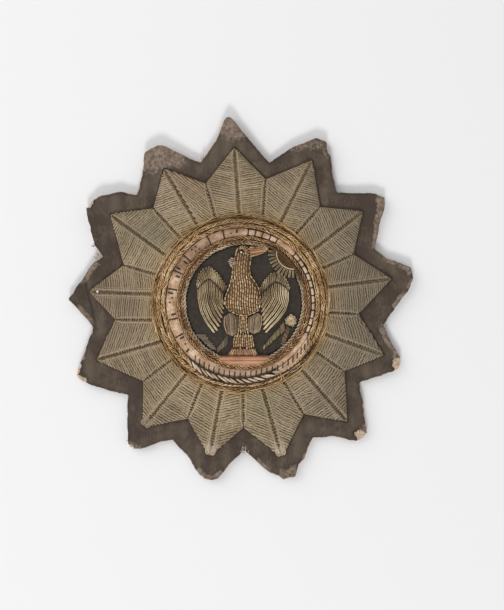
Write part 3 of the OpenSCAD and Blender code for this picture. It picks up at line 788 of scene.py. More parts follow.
for name, radius, sense, seed, low in (("outer_cord_a", 23.85, 1, 11, 0),
                                       ("outer_cord_b", 22.4, -1, 21, 1)):
    strands = [[(x, y, z - low * under_stitches(x, y)) for x, y, z in path]
               for path in ring_rope(0, radius, OUTER_Z, 5, 0.5, 6.4, sense, seed, per_turn=12)]
    # Fine threads that have come loose lie along its top
    rng = random.Random(seed)
    loose = []
    for n in range(44):
        start, reach, off = n * 8 + rng.uniform(-4, 4), rng.uniform(6, 15), rng.uniform(-0.4, 0.4)
        path = []
        for k in range(12):
            p = polar(start + reach * k / 11, radius)
            side = off + 0.3 * rough(p, 1.5, n)
            p = p * (1 + side / radius)
            rise = math.sqrt(max(0.1, 0.48 - side ** 2)) - low * under_stitches(*p)
            path.append((*p, OUTER_Z + rise, min(1, 0.3 + min(k, 11 - k) / 3)))
        loose.append(path)
    piece(name + "_twist", [
        threads(strands, 0.19, gilt_strand, closed=True), threads(loose, 0.1, yellow_gilt),
        core_ring(0, radius, 0.6, SEAT, OUTER_Z - 0.2)], "gold_cord", [name])

edge_cord = ring_rope(0, EDGE_R, SEAT + 0.75, 3, 0.2, 3.6, -1, 31)
# Lengths of loose yellow thread wander along the outside, over the feet of the rays
stray = []
rng = random.Random(31)
for n in range(72):
    start, reach = n * 5 + rng.uniform(-3, 3), rng.uniform(8, 26)
    first, last = rng.uniform(25.0, 26.1), rng.uniform(25.0, 26.1)
    path = []
    for k in range(24):
        way = polar(start + reach * k / 23, 1)
        radius = mix(first, last, k / 23) + 0.25 * rough(way * 25, 2.0, n)
        rise = mix(1.2, 1.95, (radius - 25.0) / 0.8) + 0.12 * rough(way * 25, 1.2, n + 70)
        path.append((*(way * radius), SEAT + rise, min(1, 0.3 + min(k, 23 - k) / 4)))
    stray.append(path)
piece("edge_thread_couched", [
    threads(edge_cord, 0.15, gilt_strand, closed=True), threads(stray, 0.12, yellow_gilt),
    core_ring(0, EDGE_R, 0.3, SEAT, SEAT + 0.7)], "flat_gold_thread", ["edge_thread"])

# Silk band: a padded band of cream silk between the gold cords, broad on the left and narrow on the
# right. Brown stitches cross it as plain bars, and at the foot white leaf stitches and brown ticks
# lie over its edge and the cord beside it.
FIELD_X = 1.0
BAND_OUT = 21.62
BAND_IN = 19.38
BAND_TOP = SEAT + 1.65
# Bars: angle, and their reach across the band
bars = [(-24 + 6 * k, 0.05, 0.95) for k in range(12)]
bars += [(angle, 0.0, 1.0) for angle in (60, 66, 72.5, 78, 84, 104, 117)]
bars += [(angle, 0.12, 0.88) for angle in (140.5, 154, 169, 193, 208)]
bars += [(angle, 0.2, 0.6) for angle in (143.8, 157, 190, 211)]
bars += [(angle, 0.45, 0.85) for angle in (93, 151, 172, 222)]
bars = [(angle + 0.8 * rough((angle, 0), 3.0, 9), low, high) for angle, low, high in bars]


def band_point(angle, t):
    """A place on the band: share 0 at its inner edge and 1 at its outer edge."""
    way = polar(angle, 1)
    x = way.x * FIELD_X
    inner = x + math.sqrt(BAND_IN ** 2 - FIELD_X ** 2 + x ** 2)
    return way * mix(inner, BAND_OUT, t)


def band_height(angle, t):
    """Height of the band's padding, which dips under each bar that crosses it."""
    dip = max(math.exp(-((angle - at + 180) % 360 - 180) ** 2 / 0.9)
              for at, low, high in bars if high - low > 0.6)
    soft = 0.08 * rough((angle * 0.35, t * 3), 1.5, 4)
    return BAND_TOP - 0.55 + (0.5 + soft) * math.sin(math.pi * min(1, max(0, t))) ** 0.6 - 0.3 * dip


def band_face(u, v):
    """The band's face, once round as u goes from 0 to 1."""
    p = band_point(u * 360, v)
    return p.x, p.y, band_height(u * 360, v) - (0.35 if v in (0, 1) else 0)


def across_band(angle, low, high, raise_by, count):
    """A stitch over the band between two shares of its width."""
    path = []
    for k, t in enumerate(spread(low, high, count)):
        at = angle + 0.5 * rough((angle, k * 0.5), 1.0, 2)
        path.append((*band_point(at, t), band_height(at, t) + raise_by))
    return path


def on_band(p):
    """Height of the band's face under a point."""
    angle = math.degrees(math.atan2(p.y, p.x))
    near, far = band_point(angle, 0).length, band_point(angle, 1).length
    return band_height(angle, (p.length - near) / (far - near))


band_mesh = stuffed(480, 10, band_face, lambda x, y: SEAT)
bm = bmesh.new()
bm.from_mesh(band_mesh)
bmesh.ops.remove_doubles(bm, verts=bm.verts, dist=1e-7)
# The two ends of the strip meet, so the wall between them goes
bmesh.ops.delete(bm, context="FACES_ONLY", geom=[
    f for f in bm.faces if abs(f.normal.y) > 0.99 and abs(f.calc_center_median().y) < 1e-6])
bpy.data.meshes.remove(band_mesh)
band_mesh = as_mesh(bm)

# Cream floss lies along the band in fine strands
floss = []
for t in (0.08, 0.22, 0.36, 0.5, 0.64, 0.78, 0.92):
    path = []
    for k in range(260):
        angle = k * 360 / 260
        at = t + 0.04 * rough(polar(angle, 8), 2.0, t)
        path.append((*band_point(angle, at), band_height(angle, at) - 0.06))
    floss.append(path)
# Brown threads along its edges frame the cells between the bars
framing = []
for low, high, *sides in ((-26, 43, 0.1, 0.9), (59, 85, 0.05, 0.95), (103, 118, 0, 1),
                          (137, 145, 0, 1), (203, 214, 0, 1)):
    angles = spread(low, high, round((high - low) / 1.2))
    framing += [[(*band_point(at, t), band_height(at, t) + 0.12) for at in angles] for t in sides]
crossing = [across_band(angle, low, high, 0.13, 4) for angle, low, high in bars]
crossing += [across_band(angle, at, at + 0.1, 0.15, 2) for angle, at in (
    (127.5, 0.25), (131, 0.3), (128.5, 0.65), (132.5, 0.7), (98, 0.4), (176, 0.4), (180, 0.6),
    (217, 0.4))]
# At the foot slanted white leaf stitches lie over the gold cord, and beside them cream strands,
# with brown ticks standing along a brown line, and another line along their outer ends
LEAF_Z = SEAT + 1.75
ticks = []
for k, angle in enumerate(spread(232, 332, 24)):
    foot = polar(angle, 21.4 + 1.5 * min(1, max(0, (angle - 287) / 22)))
    high = (1.5 if angle < 300 else 1.9) + 0.35 * rough((k, 3), 1.7)
    ticks.append([(*p, LEAF_Z + 0.4 if p.length > 21.5 else on_band(p) + 0.14)
                  for p in (foot + Vector((0.1 * t, high * t)) for t in (0, 0.33, 0.67, 1))])
strips = [[(*polar(angle, radius + 0.08 * rough((k, radius), 4.0)),
            LEAF_Z - 0.35 * abs(k / 15 - 1) ** 4)
           for k, angle in enumerate(spread(296, 331, 30))] for radius in (22.0, 22.6, 23.2)]
inner_line = [(*polar(angle, 21.72 + 0.1 * rough((k, 5), 5.0)), LEAF_Z + 0.12)
              for k, angle in enumerate(spread(227, 298, 60))]
outer_line = [(*polar(angle, 23.6 + 0.9 * max(0, (k - 36) / 24) + 0.1 * rough((k, 9), 4.0)),
               LEAF_Z + 0.42, min(1, 0.4 + k / 20))
              for k, angle in enumerate(spread(236, 334, 60))]
# Each leaf stitch: share of the way along it, and its thickness there
LEAF = ((0, 0.3), (0.15, 0.7), (0.35, 1.0), (0.65, 1.05), (0.85, 0.7), (1, 0.3))
leaves = []
rng = random.Random(44)
for along_foot in spread(229, 297, 15):
    angle = along_foot + rng.uniform(-0.7, 0.7)
    turn, near, far = rng.uniform(6.5, 9.5), rng.uniform(21.75, 22.0), rng.uniform(23.1, 23.5)
    leaves.append([(*polar(angle + turn * (t - 0.5), mix(near, far, t)),
                    LEAF_Z + 0.1 * t + 0.25 * math.sin(math.pi * t), thick) for t, thick in LEAF])
# Cream silk floss: a soft sheen, yellowed, dark where it is soiled at the upper left
cream_silk = thread_material(
    "cream_silk_floss", ["#8f6c50", "#c6a280", "#ecd2b2"], 0.5, patch=4.0, fleck=0.8, own=0.1,
    sheen=0.2, stains=[(-15, 14, 3, 9, "#7d5940", 0.6), (-4, 20, 2, 7, "#8f6a50", 0.4),
                       (3, -20.5, 9, 15, "#a88e70", 0.35), (22, 2, 8, 14, "#dccbb2", 0.5)])
# Whiter silk of the leaf stitches, and dark brown silk of the bars
pale_silk = thread_material("pale_silk_stitch", ["#8a7056", "#bfa688", "#e6d2b6"], 0.5, own=0.6)
brown_stitch = thread_material("brown_silk_stitch", ["#20150e", "#402d20"], 0.7)
piece("cream_band", [
    (band_mesh, cream_silk), threads(floss, 0.2, cream_silk, closed=True),
    threads(crossing, 0.26, brown_stitch), threads(framing, 0.21, brown_stitch),
    threads(strips, 0.36, cream_silk), threads(ticks, 0.17, brown_stitch),
    threads([inner_line, outer_line], 0.26, brown_stitch), threads(leaves, 0.32, pale_silk)],
    "cream_silk", ["silk_band"])

# Inner cords: two thinner gilt cords inside the band and a thin grey cord at the edge of the field.
# The innermost ones stop at the sun and at the perch, so each of those is in two lengths.
FIELD_MIDDLE = Vector((FIELD_X, 0))
INNER_A_R = 18.825
INNER_B_R = 17.925
GREY_R = 17.15
LENGTHS = {"left": (66, 246), "right": (294, 386)}
# Gilt strands inside the band are browner, and the cord round the field is greyed silver
darker_gilt = thread_material("darkened_gilt_strand", ["#4c2d15", "#977049", "#dfbc8e"], 0.4, 0.4,
                              patch=3.0, fleck=0.6, own=0.3, grain=0.6)
grey_strand = thread_material("greyed_silver_cord", ["#5f4c3a", "#a8927a", "#dccbae"], 0.5, 0.2,
                              own=0.3)
inner_strands = ring_rope(FIELD_X, INNER_A_R + 0.05, SEAT + 1.72, 3, 0.32, 3.6, -1, 41)
piece("inner_cord_a_twist", [
    threads(inner_strands, 0.17, darker_gilt, closed=True),
    core_ring(FIELD_X, INNER_A_R, 0.35, SEAT, SEAT + 1.65)], "gold_cord", ["inner_cord_a"])
for side, span in LENGTHS.items():
    strands = ring_rope(FIELD_X, INNER_B_R, SEAT + 1.7, 3, 0.3, 3.6, 1, 51, span)
    core = [(*(polar(angle, INNER_B_R) + FIELD_MIDDLE), SEAT + 1.15)
            for angle in spread(span[0] + 1.5, span[1] - 1.5, 60)]
    piece("inner_cord_b_%s_twist" % side, [
        threads(strands, 0.165, darker_gilt), threads([core], 0.36, string_core)],
        "gold_cord", ["inner_cord_b_" + side])
    strands = ring_rope(FIELD_X, GREY_R + 0.05, SEAT + 1.4, 2, 0.27, 2.4, -1, 61, span)
    piece("field_cord_%s_twist" % side, [threads(strands, 0.22, grey_strand)], "grey_cord",
          ["field_cord_" + side])

# Field silk: a disc of dark brown silk, finely woven, drawn tight under the inner cords, with small
# puckers where the embroidery pulls at it.
FIELD_R = 16.7
FIELD_Z = SEAT + 1.05
bm = bmesh.new()
bmesh.ops.create_grid(bm, x_segments=90, y_segments=24, size=0.5)
for v in bm.verts:
    p = polar((v.co.x + 0.5) * 360, FIELD_R * (1 - (v.co.y + 0.5)) ** 0.8) + FIELD_MIDDLE
    v.co = Vector((*p, FIELD_Z - 0.12 + 0.1 * rough(p, 2.5, 3) + 0.04 * rough(p, 0.9, 4))) * MM
bmesh.ops.remove_doubles(bm, verts=bm.verts, dist=1e-7)
field_mesh = as_mesh(bm)
# Dark brown silk: matt, finely woven, its weave drawn 0.35 mm apart so that it shows, dusty
dark_silk, tree = blank_material("dark_brown_silk")
place = node(tree, "TexCoord").outputs["Object"]
warp, weft = [node(tree, "TexWave", {"Vector": place, "Scale": 0.05 / (0.35 * MM),
                                     "Distortion": 1.0}, bands_direction=way).outputs["Fac"]
              for way in "XY"]
dust = node(tree, "TexNoise", {"Vector": place, "Scale": 1 / (1.1 * MM), "Detail": 4.0})
tone = node(tree, "MapRange", {"Value": dust, "From Min": 0.35, "From Max": 0.7})
paint = node(tree, "Mix", {"Factor": tone, "A": srgb("#221b12"), "B": srgb("#392e20")},
             data_type="RGBA")
relief = node(tree, "Math", {0: warp, 1: weft}, operation="MULTIPLY")
relief = node(tree, "Bump", {"Height": relief, "Strength": 0.5, "Distance": 0.05 * MM})
node(tree, "OutputMaterial", {"Surface": node(tree, "BsdfPrincipled", {
    "Base Color": paint, "Roughness": 0.75, "Sheen Weight": 0.1, "Normal": relief})})
field = piece("dark_field", [(field_mesh, dark_silk)], "dark_silk", ["field_silk"])
thickness = field.modifiers.new("field_thickness", "SOLIDIFY")
thickness.thickness = 0.9 * MM
thickness.offset = -1

# Eagle's body: felt padding covered with couched gilt thread, in upright rows of short stitches
# with a dashed line of them round the edge. Its rows are height, left and right edge, and rise.
BODY = [(-9.0, 0.3, 1.8, 1.0), (-4.4, 0.2, 2.0, 1.3), (-3.3, -1.0, 3.1, 1.4),
        (-2.2, -3.4, 5.2, 1.6), (-0.3, -4.7, 5.8, 1.8), (1.7, -4.5, 5.8, 1.9),
        (3.8, -3.7, 5.5, 1.8), (5.7, -3.0, 4.5, 1.7), (7.8, -2.5, 2.9, 1.5),
        (10.2, -2.3, 2.6, 1.4), (12.5, -1.9, 3.0, 1.4), (14.2, -1.4, 3.2, 1.4),
        (15.6, -0.8, 2.8, 1.2), (16.5, 0.3, 1.7, 0.8)]


def pad_height(rows, x, y):
    """Height of a padded piece's face, rounded down at its edges."""
    left, right, rise = read_off(rows, y)
    t = min(1, max(0, (x - left) / (right - left)))
    ends = min(1, (y - rows[0][0]) / 0.8, (rows[-1][0] - y) / 0.8)
    return 0.3 + (rise - 0.3) * math.sin(math.pi * t) ** 0.6 * max(0.0, ends) ** 0.5


def on_pad(rows, share, y, above, slim=0.0):
    """A point over a padded piece, at a share of its width between margins of slim."""
    left, right, rise = read_off(rows, y)
    x = mix(left + slim, right - slim, share)
    return x, y, FIELD_Z + pad_height(rows, x, y) + above


def pad(rows, look, columns=12, steps=None, slim=0.15):
    """The padding of a piece, from its rows of height, left edge, right edge and rise."""
    low, high = rows[0][0], rows[-1][0]
    return stuffed(columns, steps or max(6, round((high - low) / 0.7)),
                   lambda u, v: on_pad(rows, u, mix(low, high, v), -0.1, slim),
                   lambda x, y: FIELD_Z - 0.15), look


def in_dashes(path, length, space, rng):
    """Cuts a path into short stitches with tapered ends."""
    dashes, run, used = [], [path[0]], 0.0
    want = length * rng.uniform(0.4, 1.2)
    for a, b in zip(path, path[1:]):
        used += (Vector(b[:3]) - Vector(a[:3])).length
        if used > 0:
            run.append(b)
        if used >= want:
            if len(run) > 2:
                last = len(run) - 1
                dashes.append([(x, y, z - 0.07, 0.65) if j in (0, last) else (x, y, z, 1)
                               for j, (x, y, z) in enumerate(run)])
            run, used = [], -space
            want = length * rng.uniform(0.8, 1.2)
    return dashes


def along(points, share):
    """The point at a share of the length of a line of points."""
    lengths = [(b - a).length for a, b in zip(points, points[1:])]
    rest = share * sum(lengths)
    for a, b, length in zip(points, points[1:], lengths):
        if rest <= length:
            return a.lerp(b, rest / length)
        rest -= length
    return points[-1]


def body_column(x, low_y, high_y, inset):
    """The stretches of an upright row that lie on the body. A row leans with the body's middle."""
    runs, run = [], []
    for k in range(round((high_y - low_y) / 0.25) + 1):
        y = low_y + k * 0.25
        left, right, rise = read_off(BODY, y)
        at = x + 0.7 * ((left + right) / 2 - 0.55) + 0.04 * rough((x, y), 1.2)
        if left + inset < at < right - inset:
            run.append((at, y, FIELD_Z + pad_height(BODY, at, y) + 0.08))
        else:
            runs.append(run)
            run = []
    return [r for r in runs + [run] if len(r) > 4]


# Gilt stitches: a soft metal glint, yellowed, browner at the head and over the tail
gilt_stitch = thread_material(
    "gilt_stitches", ["#8e6e48", "#c3a579", "#f4e1bf"], 0.38, 0.35, own=0.7, fleck=0.7,
    stains=[(0.5, 11.5, 2.5, 6, "#806243", 0.4), (0.9, -11.4, 1, 4, "#85653f", 0.3)])
# Brown felt under the stitches
dark_felt = thread_material("dark_brown_felt", ["#4a3220", "#7d583b"], 0.95)
# Distance between the rows, and the length of the stitches and the gap between them
COLUMN = 0.68
STITCH = (1.05, 0.1)
RIM_STITCH = (0.9, 0.25)
rng = random.Random(5)
rows_of_gilt = []
for k in range(-8, 9):
    for run in body_column(0.55 + k * COLUMN, -3.1, 15.2, 0.4):
        rows_of_gilt += in_dashes(run, *STITCH, rng)
# The outline: down the back, round under the breast and up the front
back, front = [[Vector((mix(l, r, share), y)) for y, l, r, rise in BODY[3:]]
               for share in (0.01, 0.99)]
outline = back[::-1] + [Vector(p) for p in ((-1.2, -3.25), (0.9, -3.7), (3.2, -3.15))] + front
rim = [along(outline, share) for share in spread(0, 1, 150)]
rim_of_gilt = in_dashes([(*p, FIELD_Z + max(0.95, pad_height(BODY, *p)) + 0.05) for p in rim],
                        *RIM_STITCH, rng)
# Rows that run on between the thighs and spread to the tail
for k in range(-2, 3):
    run = []
    for j in range(27):
        y = -9.9 + 0.25 * j
        x = 0.7 + k * (0.5 + 0.35 * max(0, -(y + 5) / 5) ** 2) + 0.1 * rough((k, y), 2.0)
        run.append((x, y, FIELD_Z + 1.3 - 0.25 * abs(x - 0.7) / 2))
    rows_of_gilt += in_dashes(run, *STITCH, rng)
piece("eagle_body_stitched", [
    pad(BODY, dark_felt, 14), threads(rows_of_gilt, 0.185, gilt_stitch),
    threads(rim_of_gilt, 0.18, gilt_stitch)], "gilt_thread", ["eagle_body"])

# Tail: felt padding under ten rows of short gilt stitches, which spread downwards and run out over
# the feet.
TAIL = [(-13.0, -2.4, 4.2, 1.0), (-11.4, -2.3, 4.0, 1.2), (-10.1, -2.1, 3.8, 1.2),
        (-9.2, -0.8, 2.8, 1.0)]
rng = random.Random(6)
tail_rows = []
for share in ((k + 0.5) / 10 for k in range(10)):
    run = []
    for y in spread(-9.3, -13.3, 21):
        left, right, rise = read_off(TAIL, max(-13.0, y - 0.4))
        x = mix(left + 0.1, right - 0.1, share) + 0.08 * rough((share * 9, y), 1.0)
        run.append((x, y, FIELD_Z + max(0.6, pad_height(TAIL, x, y)) + 0.12))
    tail_rows += in_dashes(run, 0.75, 0.12, rng)
piece("eagle_tail_looped", [pad(TAIL, dark_felt), threads(tail_rows, 0.21, gilt_stitch)],
      "gilt_thread", ["eagle_tail"])

# Thighs: smooth satin stitch of grey silk over padding. Its strands run down side by side from
# under the breast and draw together at the foot.
THIGH_LEFT = [(-9.6, -3.0, -1.9, 0.6), (-8.4, -4.1, -0.5, 1.1), (-6.4, -4.7, 0.0, 1.3),
              (-4.6, -4.7, -0.1, 1.2), (-3.6, -4.2, -1.6, 0.9)]
THIGH_RIGHT = [(-9.0, 3.2, 4.4, 0.6), (-8.0, 2.3, 5.4, 1.1), (-6.2, 2.2, 6.0, 1.3),
               (-4.6, 2.3, 6.1, 1.2), (-3.5, 3.6, 5.9, 0.9)]


def upright(rows, share, low_y, high_y, step):
    """Points up a padded piece at one share of its width, between two heights."""
    return [on_pad(rows, share, y, 0.05)
            for y in spread(low_y, high_y, max(2, round((high_y - low_y) / step)))]


# Satin stitch: fine smooth silk with a sheen, grey and pinkish, and a brighter silver-gilt thread
grey_satin = thread_material("grey_satin_stitch", ["#35291c", "#786349", "#bda581"], 0.45, own=0.65,
                             grain=0.4, patch=2.5, fleck=0.6, sheen=0.2,
                             stains=[(4.4, -5.2, 0.5, 3.5, "#655842", 0.5)])
pinkish_satin = thread_material("pinkish_satin_stitch", ["#54423a", "#7e6458", "#9c7f70"], 0.5,
                                own=0.6)
silver_gilt = thread_material("silver_gilt_thread", ["#69573d", "#ae9773", "#ebd8b2"], 0.45, 0.3,
                              fleck=0.7)
for side, rows in (("left", THIGH_LEFT), ("right", THIGH_RIGHT)):
    strands = [upright(rows, k / 13, rows[0][0] + 0.1 + 0.5 * abs(k - 6.5) / 6.5,
                       -3.0 - 0.8 * ((k - 6.5) / 6.5) ** 2, 0.4) for k in range(14)]
    # Two strands of the left thigh are pinkish, and the seventh of the right one is laid double
    if side == "left":
        plain, over, look = strands[1:3] + strands[5:-1], strands[3:5], pinkish_satin
    else:
        plain, over, look = strands[1:-1], strands[6:7], grey_satin
    piece("thigh_%s_satin" % side, [
        pad(rows, dark_felt, 12, 12), threads(plain, 0.145, grey_satin),
        threads(over, 0.145, look), threads(strands[::13], 0.18, silver_gilt)],
        "grey_silk", ["thigh_" + side])

# Wings: loops of silver-gilt thread couched down side by side over padding, which is coloured dark
# as painted shade between the loops. Short loops fan over the shoulder, and long feathers run from
# there to the wing's tip.
WING_LEFT = [(-8.6, -8.0, -6.8, 0.7), (-6.3, -9.7, -6.2, 1.0), (-3.2, -11.4, -5.4, 1.2),
             (0.2, -12.6, -5.0, 1.3), (3.6, -13.1, -4.3, 1.4), (6.4, -12.8, -4.7, 1.3),
             (8.4, -12.1, -6.4, 1.1), (10.3, -9.6, -8.4, 0.7)]
WING_RIGHT = [(-8.9, 6.9, 7.8, 0.7), (-7.2, 6.5, 10.0, 0.9), (-5.0, 6.3, 12.1, 1.1),
              (-2.6, 6.2, 13.6, 1.2), (0.2, 6.1, 14.4, 1.3), (3.0, 6.1, 14.3, 1.4),
              (5.2, 6.0, 13.6, 1.3), (7.2, 7.2, 12.2, 1.1), (8.5, 9.4, 11.0, 0.7)]


def loop_round(start, end, width, height):
    """A thread that runs from start to end, round it and back, as a narrow loop."""
    step, side = unit_left(end - start)
    side *= width / 2
    reach = (end - start).length - width / 2
    count = max(2, round(reach / 0.6))
    points = [start + side + step * reach * k / count for k in range(count + 1)]
    for a in (math.pi * turn for turn in (0.25, 0.5, 0.75)):
        points.append(start + step * (reach + width / 2 * math.sin(a)) + side * math.cos(a))
    points += [start - side + step * reach * k / count for k in range(count, -1, -1)]
    return [(*p, height(*p)) for p in points]


def wing(rows, outer_arc, inner_arc, outer_edge, inner_edge, loops=16, feathers=8):
    """A wing: short loops between two arcs over its shoulder, and below them long feathers, each a
    loop that curves as the outer edge does and ends at the foot or on the inner edge, the outer
    ones lowest. Each arc is listed from the outside of the wing to the inside, and each edge from
    the top down."""
    outer_arc, inner_arc, outer_edge, inner_edge = [
        [Vector(p) for p in line] for line in (outer_arc, inner_arc, outer_edge, inner_edge)]
    bow = [complex(*(along(outer_edge, j / 20) - outer_edge[0])) for j in range(21)]
    ends = outer_edge[-1:] + inner_edge[::-1]
    hand = 1 if outer_edge[0].x > inner_edge[0].x else -1

    def height(x, y):
        return FIELD_Z + pad_height(rows, x, y) + 0.12

    def feather_side(share, end_share, aside):
        """One thread of a feather, from the arc down to the inner edge."""
        start, end = along(inner_arc, share), along(ends, 0.8 * end_share)
        turn = complex(*(end + Vector((aside, 0)) - start)) / bow[-1]
        points = [start + Vector(((b * turn).real, (b * turn).imag)) for b in bow]
        return [(*p, height(*p)) for p in points]

    fan, dots, pairs = [], [], []
    for share in ((k + 0.5) / loops for k in range(loops)):
        root, end = along(inner_arc, share), along(outer_arc, share)
        fan.append(loop_round(root, end, 0.4, lambda x, y: height(x, y) + 0.08))
        dots.append([(root.x, root.y + off, height(*root) + 0.2) for off in (-0.55, -0.3, -0.05)])
    for k in range(feathers):
        middle = (k + 0.5) / feathers
        out_side = feather_side((k + 0.14) / feathers, middle, hand * 0.2)
        in_side = feather_side((k + 0.7) / feathers, middle, -hand * 0.15)
        pairs.append(out_side + in_side[::-1])
    return [pad(rows[1:], shade_and_notch_thread, 12, 16, 0.4), threads(fan, 0.115, silver_gilt),
            threads(pairs, 0.145, silver_gilt), threads(dots, 0.2, brown_stitch)]


for side, rows, lines in (
        ("left", WING_LEFT, (
            [(-12.7, 5.2), (-12.3, 8.0), (-10.9, 9.9), (-8.9, 10.6), (-6.7, 8.7), (-5.2, 6.5),
             (-3.9, 4.6)],
            [(-12.4, 4.2), (-11.4, 5.4), (-10.2, 6.6), (-8.9, 7.2), (-6.9, 5.4), (-4.8, 3.0)],
            [(-12.9, 4.3), (-12.8, 1.1), (-12.0, -2.6), (-10.5, -5.6), (-8.3, -8.4)],
            [(-4.45, 2.9), (-4.85, -0.5), (-5.15, -2.9), (-5.7, -5.25), (-6.9, -8.5)])),
        ("right", WING_RIGHT, (
            [(14.2, 4.2), (13.6, 6.3), (12.6, 7.8), (10.6, 8.9), (8.6, 8.5), (7.0, 6.6),
             (5.7, 4.2)],
            [(13.9, 3.6), (12.9, 4.9), (11.6, 5.8), (9.9, 6.4), (8.0, 4.9), (5.9, 2.9)],
            [(14.3, 3.6), (14.3, 0.8), (13.5, -2.2), (11.5, -4.9), (9.2, -7.2), (7.9, -8.6)],
            [(5.65, 3.2), (5.9, 0.1), (6.15, -2.6), (6.5, -5.6), (6.8, -8.4)]))):
    piece("wing_%s_looped" % side, wing(rows, *lines), "feather_thread", ["wing_" + side])

# Head: a beak of gilt thread with a coral silk mouth, a crown of gilt stitches, a glass bead for
# the eye, coloured pale as a painted highlight, inside a ring of dark thread, and a tuft of greyed
# pink stitches at the nape. The beak's rows are its place along x, and its upper and lower edge.
BEAK = [(3.0, 16.1, 13.5), (5.0, 16.0, 14.0), (6.4, 15.8, 14.5), (7.5, 15.4, 15.0)]


def beak_top(u, v):
    """The beak's padding, from the head (u 0) to its point (u 1)."""
    x = mix(3.0, 7.4, u)
    high, low = read_off(BEAK, x)
    return x, mix(low, high, v), FIELD_Z + 0.3 + 0.45 * math.sin(math.pi * v) * (1 - 0.4 * u)


# Coral silk floss with a soft sheen, bleached orange pink, and the same in a darker, browner tone
coral = thread_material("coral_silk_floss", ["#9a6645", "#c48d67", "#dfb28b"], 0.5, own=0.5,
                        sheen=0.2)
coral_dark = thread_material("faded_coral_silk", ["#5f3827", "#885640", "#ac7a5e"], 0.6, own=0.6)
beak = [(stuffed(8, 6, beak_top, lambda x, y: FIELD_Z - 0.15), coral_dark)]
for share, look in ((0.0, gilt_strand), (0.2, darker_gilt), (0.42, coral_dark), (0.6, coral),
                    (0.8, coral_dark), (1.0, gilt_strand)):
    path = []
    for t in spread(0, 1, 8):
        x = mix(2.7, 7.5, t)
        high, low = read_off(BEAK, x)
        path.append((x, mix(high, low, share), FIELD_Z + 0.85 - 0.3 * t ** 2, 1.1 - 0.6 * t ** 3))
    beak.append(threads([path], 0.24, look))
piece("beak_stitched", beak, "gilt_thread", ["beak"])
# The crown: stitches that fan out from the eye, and a pale one down the back of the head
crown = []
for angle, reach in zip(spread(-18, 122, 7), (2.2, 2.4, 2.3, 2.2, 2.0, 1.8, 1.6, 1.4)):
    crown.append([(*(Vector((0.35, 14.7)) + polar(angle, 1) * mix(0.85, reach, t)),
                   FIELD_Z + 1.5 - 0.5 * t ** 2) for t in spread(0, 1, 4)])
nape = [(x, y, FIELD_Z + z) for x, y, z in ((-0.75, 15.8, 1.1), (-1.15, 15.2, 1.15),
                                            (-1.3, 14.5, 1.15), (-1.35, 13.7, 1.15))]
piece("crown_stitched", [threads(crown, 0.2, gilt_stitch), threads([nape], 0.2, silver_gilt)],
      "gilt_thread")
# The eye: a glossy glass bead, coloured pale pearl all over as a painted highlight, ringed with
# brown thread
EYE = Vector((0.2, 14.6))
eye_ring = [(*(EYE + polar(angle, 0.44)), FIELD_Z + 1.6) for angle in range(0, 360, 24)]
piece("eye_ring", [threads([eye_ring], 0.17, brown_stitch, closed=True)], "brown_thread")
bead_highlight_paint = thread_material("glass_bead_painted_highlight", ["#d8cfbf", "#f3eee2"], 0.12)
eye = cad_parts["eye"]
eye.data.materials.clear()
eye.data.materials.append(bead_highlight_paint)
# The tuft, of faded pinkish grey silk: each stitch from its root to its end
pink = thread_material("greyed_pink_silk", ["#7d655a", "#ae9585", "#cbb5a5"], 0.55, own=0.6)
tuft = [[(mix(a, c, t), mix(b, d, t), FIELD_Z + 0.45 + 0.25 * math.sin(math.pi * t))
         for t in (0, 0.25, 0.5, 0.75, 1)]
        for a, b, c, d in ((-2.3, 10.4, -2.9, 10.9), (-2.25, 11.0, -3.2, 11.4),
                           (-2.2, 11.6, -3.5, 12.0), (-2.15, 12.2, -3.3, 12.5),
                           (-2.0, 12.7, -2.8, 13.0))]
piece("nape_tuft_stitched", [threads(tuft, 0.22, pink)], "pink_silk", ["nape_tuft"])

# Feet and perch: gilt loops over red brown silk for the feet, and a low mound of coral satin
# stitch with a gilt thread along its foot for the perch.
FEET = [(-15.2, -3.7, 5.1, 0.9), (-14.4, -3.6, 5.0, 1.1), (-13.2, -2.6, 4.3, 0.9)]
PERCH = [(-18.2, -1.1, 3.1, 0.7), (-17.8, -3.3, 5.3, 1.0), (-17.2, -5.1, 7.1, 1.2),
         (-16.4, -6.4, 8.3, 1.3), (-15.7, -6.5, 8.4, 1.2), (-15.35, -6.2, 8.1, 0.8)]
feet_loops = []
for first, turn in ((0, 1), (1, -1)):
    path = []
    for k in range(17):
        y = -14.85 if (k + first) % 2 else -13.45
        x, y, z = on_pad(FEET, k / 16, y, 0.2, 0.2)
        path += [(x, y, z), (x + 0.1 * turn, y, z + 0.02)]
    feet_loops.append(path)
# Four loops stand side by side, rounded at their foot
FOOT_LOW = -15.05
for share in (0.125, 0.375, 0.625, 0.875):
    down, up = [], []
    for side, path in ((-1, down), (1, up)):
        for x, y, z in upright(FEET, share, FOOT_LOW, -13.3, 0.5):
            left, right, rise = read_off(FEET, y)
            x += side * min(0.25, (right - left) / 4 * 0.27)
            path.append((x, y, FIELD_Z + pad_height(FEET, x, y) + 0.06))
    foot = ((down[0][0] + up[0][0]) / 2, FOOT_LOW - 0.2, down[0][2] - 0.1)
    feet_loops.append(down[::-1] + [foot] + up)
feet_floss = [[(x, y, z - 0.05) for x, y, z in upright(FEET, (k + 0.5) / 13, -15.2, -13.1, 0.4)]
              for k in range(13)]
